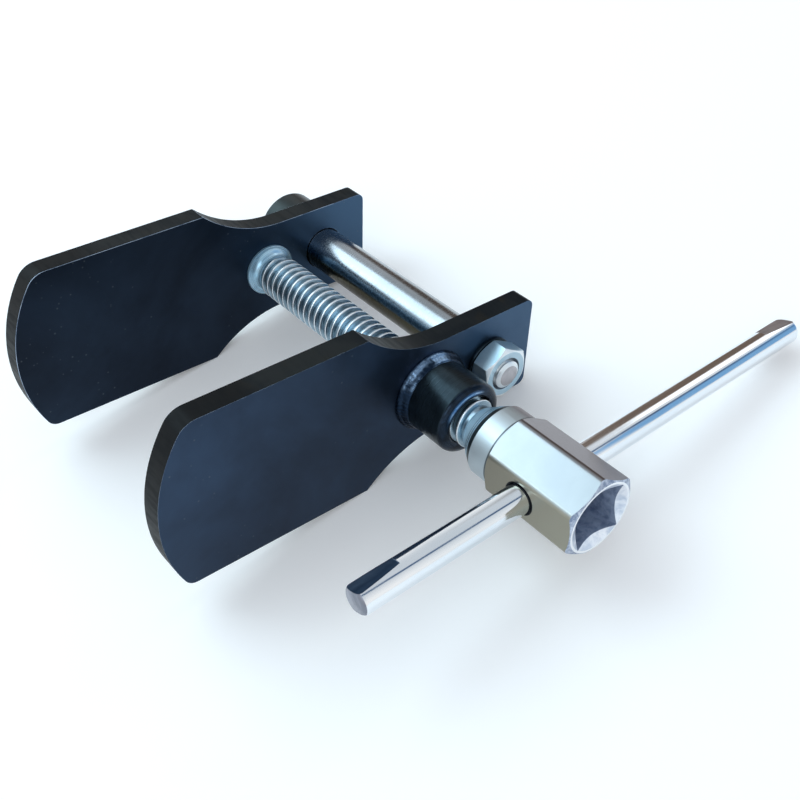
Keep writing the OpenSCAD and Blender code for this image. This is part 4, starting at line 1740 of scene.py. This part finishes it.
@dataclass(frozen=True)
class CrossBar:
    """The sliding T-bar with its pressed flats."""

    radius: float = 3.75 * MM
    length: float = 148.4 * MM
    shift: float = 17.8 * MM
    axis_y: float = BAR_Y
    tip_r: float = 1.2 * MM
    press_len: float = 11.8 * MM
    press_in: float = 0.35 * MM
    press_out: float = 1.1 * MM
    edge: float = 0.12 * MM
    lean: float = math.radians(20.0)
    head_turn: float = HEAD_TURN

    def build(self) -> None:
        """Builds and sets down the bar."""
        STANCE.set_down(self.make_bar(), "t_bar", Body.BAR)

    def make_bar(self) -> Piece:
        """Turns the bar, presses its flats and puts it through the head."""
        r, half, t = self.radius, self.length / 2, self.tip_r
        end = [(0.0, half)]
        for degrees in range(0, 91, 15):
            a = math.radians(degrees)
            end.append((r - t + t * math.sin(a), half - t + t * math.cos(a)))
        outline = [(x, -y) for x, y in end] + list(reversed(end))
        piece = Bench.turn("cross_bar", outline)
        Bench.swing(piece, Matrix.Rotation(-math.pi / 2, 4, "Z"))
        slant = math.atan2(self.press_out - self.press_in, self.press_len)
        for turned in (0.0, math.pi):
            for face in (0.0, math.pi):
                Bench.clear()
                bpy.ops.mesh.primitive_cube_add(size=1, location=(0.5, 0, 0.5), scale=(1, 1, 1))
                press = Bench.adopt("press")
                Bench.swing(press, Matrix.Diagonal((3 * self.press_len, 4 * r, 2 * r, 1)))
                Bench.swing(press, Matrix.Rotation(slant, 4, "Y"))
                Bench.swing(press, Matrix.Translation((half - self.press_len, 0, r - self.press_in)))
                roll = (-self.lean if turned == 0.0 else self.lean) + face
                Bench.swing(press, Matrix.Rotation(turned, 4, "Z") @ Matrix.Rotation(roll, 4, "X"))
                Bench.combine(piece, press, "DIFFERENCE")
        dress(piece, BAR_CHROME, BAR_FLAT_REFLECTION, BAR_TIP, BAR_FLAT_BROWN_REFLECTION)
        lean = self.lean
        inner, outer = half - self.press_len - MM, half - 0.4 * t

        def pressed(centre: Vector, normal: Vector) -> bool:
            """Picks the pressed faces."""
            across = abs(normal.y * math.sin(lean) + normal.z * math.cos(lean))
            return inner < abs(centre.x) < outer and across > 0.985

        # The pressed flats take the navy painted reflection.
        paint_faces(piece, BAR_FLAT_REFLECTION, pressed)
        # The flats at the +X end take the brown painted reflection instead.
        paint_faces(piece, BAR_FLAT_BROWN_REFLECTION, lambda centre, normal: centre.x > 0 and pressed(centre, normal))
        paint_faces(piece, BAR_TIP, lambda centre, normal: abs(normal.x) > 0.55 and abs(centre.x) > half - t)
        Bench.break_edges(piece, self.edge, segments=2, limit=12.0)
        Bench.swing(piece, Matrix.Translation((self.shift, self.axis_y, 0)))
        Bench.swing(piece, Matrix.Rotation(-self.head_turn, 4, "Y"))
        return piece


# The studio


@dataclass(frozen=True)
class SoftLamp:
    """One soft box: where it hangs, its size, how bright its face is and its tint."""

    name: str
    at: Tuple[float, float, float]
    size: Tuple[float, float]
    brightness: float
    tint: Colour = WHITE

    def hang(self) -> None:
        """Adds the lamp, facing the tool."""
        data = bpy.data.lights.new(self.name, "AREA")
        data.shape = "RECTANGLE"
        data.size, data.size_y = self.size
        data.energy = self.brightness * math.pi * self.size[0] * self.size[1]
        data.color = self.tint
        lamp = bpy.data.objects.new(self.name, data)
        bpy.context.scene.collection.objects.link(lamp)
        lamp.location = self.at
        lamp.rotation_euler = (-Vector(self.at)).to_track_quat("-Z", "Y").to_euler()


@dataclass(frozen=True)
class RoomPatch:
    """A part of the room that lights and is mirrored, but that the camera itself doesn't see.

    Each span holds an axis of the view direction (0 to 2), its two limits and the mask's value at each.
    """

    tone: Colour
    spans: Tuple[Tuple[int, float, float, float, float], ...]


SKIRTING = RoomPatch((0.18, 0.18, 0.19), ((1, 0.2, 0.5, 0, 1), (2, 0.02, 0.18, 1, 0), (0, -0.35, 0.0, 0, 1)))
BROWN_CORNER = RoomPatch(
    (0.17, 0.125, 0.10), ((0, 0.585, 0.66, 0, 1), (1, 0.14, 0.20, 0, 1), (2, 0.60, 0.75, 1, 0))
)
BLUE_WINDOW = RoomPatch(
    (0.20, 0.42, 0.70),
    ((0, 0.60, 0.68, 0, 1), (1, -0.14, -0.24, 0, 1), (2, 0.0, 0.12, 0, 1), (2, 0.47, 0.53, 1, 0)),
)
BRIGHT_WALL = RoomPatch(
    (1.25, 1.50, 1.65), ((0, -0.10, -0.45, 0, 1), (1, 0.1, 0.4, 0, 1), (2, 0.15, 0.4, 0, 1))
)
DARK_BEAM = RoomPatch(
    (0.07, 0.13, 0.24), ((1, -0.52, -0.45, 0, 1), (1, -0.38, -0.31, 1, 0), (2, 0.3, 0.5, 0, 1))
)


@dataclass(frozen=True)
class Studio:
    """Floor, soft light and the camera at the photograph's place."""

    camera_at: Point = (-0.1177878, -0.1730564, 0.2081206)
    azimuth: float = math.radians(-33.0693)
    elevation: float = math.radians(44.9439)
    roll: float = math.radians(-9.3380)
    lens: float = 47.673
    sensor: float = 36.0
    floor_r: float = 30.0
    floor_grey: float = 0.93
    floor_glow: float = 0.12
    floor_fade: Limits = (0.18, 0.6)
    wall: Colour = (0.92, 0.94, 0.96)
    overhead: Colour = (0.62, 0.67, 0.72)
    overhead_z: Limits = (0.1, 0.95)
    patches: Tuple[RoomPatch, ...] = (SKIRTING, BROWN_CORNER, BLUE_WINDOW, BRIGHT_WALL, DARK_BEAM)
    lamps: Tuple[SoftLamp, ...] = (
        SoftLamp("key_box", (-0.22, 0.60, 0.76), (0.80, 0.62), 2.7, (0.72, 0.91, 1.0)),
        SoftLamp("fill_box", (-0.75, -0.55, 0.75), (0.5, 0.5), 2.4, (0.86, 0.95, 1.0)),
        SoftLamp("side_box", (0.9, 0.0, 0.64), (0.45, 0.26), 0.9),
    )

    def build(self) -> None:
        """Sets up everything that isn't part of the tool."""
        self.lay_floor()
        self.light_room()
        for lamp in self.lamps:
            lamp.hang()
        self.set_camera()

    @staticmethod
    def rays(w: Wiring) -> Tuple[Socket, Socket]:
        """Gives the camera's own rays, and these with those of mirrors and glass."""
        path = w.add("ShaderNodeLightPath").outputs
        seen = w.maths("MAXIMUM", path["Is Camera Ray"], path["Is Glossy Ray"])
        return path["Is Camera Ray"], w.maths("MAXIMUM", seen, path["Is Transmission Ray"])

    def lay_floor(self) -> None:
        """Lays a wide pale floor that goes white away from the tool and keeps its shadow."""
        Bench.clear()
        bpy.ops.mesh.primitive_circle_add(
            vertices=64, radius=self.floor_r, fill_type="NGON", location=(0, 0, 0)
        )
        floor = Bench.adopt("studio_floor")
        made = bpy.data.materials.new("pale_floor")
        made.use_nodes = True
        made.node_tree.nodes.clear()
        w = Wiring(made.node_tree)
        place = w.add("ShaderNodeTexCoord").outputs["Object"]
        far = w.add("ShaderNodeVectorMath", {"operation": "LENGTH"}, Vector=place).outputs["Value"]
        _, seen = self.rays(w)
        matt = w.add("ShaderNodeBsdfDiffuse", Color=(self.floor_grey,) * 3)
        glow = w.add("ShaderNodeEmission", Color=WHITE, Strength=self.floor_glow)
        both = w.add("ShaderNodeAddShader")
        w.feed(both.inputs[0], matt.outputs[0])
        w.feed(both.inputs[1], glow.outputs[0])
        white = w.add("ShaderNodeEmission", Color=WHITE, Strength=1.0)
        mixed = w.add("ShaderNodeMixShader", Fac=w.product(w.span(far, *self.floor_fade), seen))
        w.feed(mixed.inputs[1], both.outputs[0])
        w.feed(mixed.inputs[2], white.outputs[0])
        w.add("ShaderNodeOutputMaterial", Surface=mixed.outputs[0])
        floor.data.materials.append(made)

    def light_room(self) -> None:
        """Lights the room: pale all round and greyer overhead, with its patches, and white to the camera."""
        world = bpy.data.worlds.new("studio_room")
        bpy.context.scene.world = world
        world.use_nodes = True
        world.node_tree.nodes.clear()
        w = Wiring(world.node_tree)
        place = w.add("ShaderNodeTexCoord").outputs["Generated"]
        view = w.add("ShaderNodeSeparateXYZ", Vector=place).outputs
        camera, seen = self.rays(w)
        room = w.span(camera, 0.0, 1.0, 1.0, 0.0)
        sky = w.blend(seen, self.wall, WHITE)
        sky = w.blend(w.product(room, w.span(view[2], *self.overhead_z)), sky, self.overhead)
        for patch in self.patches:
            masks = [w.span(view[axis], *limits) for axis, *limits in patch.spans]
            sky = w.blend(w.product(room, *masks), sky, patch.tone)
        back = w.add("ShaderNodeBackground", Color=sky, Strength=1.0)
        w.add("ShaderNodeOutputWorld", Surface=back.outputs[0])

    def set_camera(self) -> None:
        """Puts the camera where the photograph was taken from."""
        sa, ca = math.sin(self.azimuth), math.cos(self.azimuth)
        se, ce = math.sin(self.elevation), math.cos(self.elevation)
        back = Vector((sa * ce, -ca * ce, se))
        level = Vector((ca, sa, 0))
        upright = back.cross(level)
        right = level * math.cos(self.roll) + upright * math.sin(self.roll)
        above = upright * math.cos(self.roll) - level * math.sin(self.roll)
        data = bpy.data.cameras.new("photo_camera")
        data.sensor_fit = "HORIZONTAL"
        data.sensor_width = self.sensor
        data.lens = self.lens
        data.clip_start = 0.01
        data.clip_end = 100.0
        camera = bpy.data.objects.new("photo_camera", data)
        bpy.context.scene.collection.objects.link(camera)
        turned = Matrix((right, above, back)).transposed().to_4x4()
        camera.matrix_world = Matrix.Translation(self.camera_at) @ turned
        scene = bpy.context.scene
        scene.camera = camera
        scene.view_settings.view_transform = "Standard"


def main() -> None:
    """Builds the tool piece by piece, then the studio."""
    logging.basicConfig(level=logging.INFO, format="%(name)s: %(message)s")
    for unit in (FixedJaw(), SlidingJaw(), ScrewUnit(), CrossBar()):
        unit.build()
    Studio().build()
    Bench.clear()


if __name__ == "__main__":
    main()
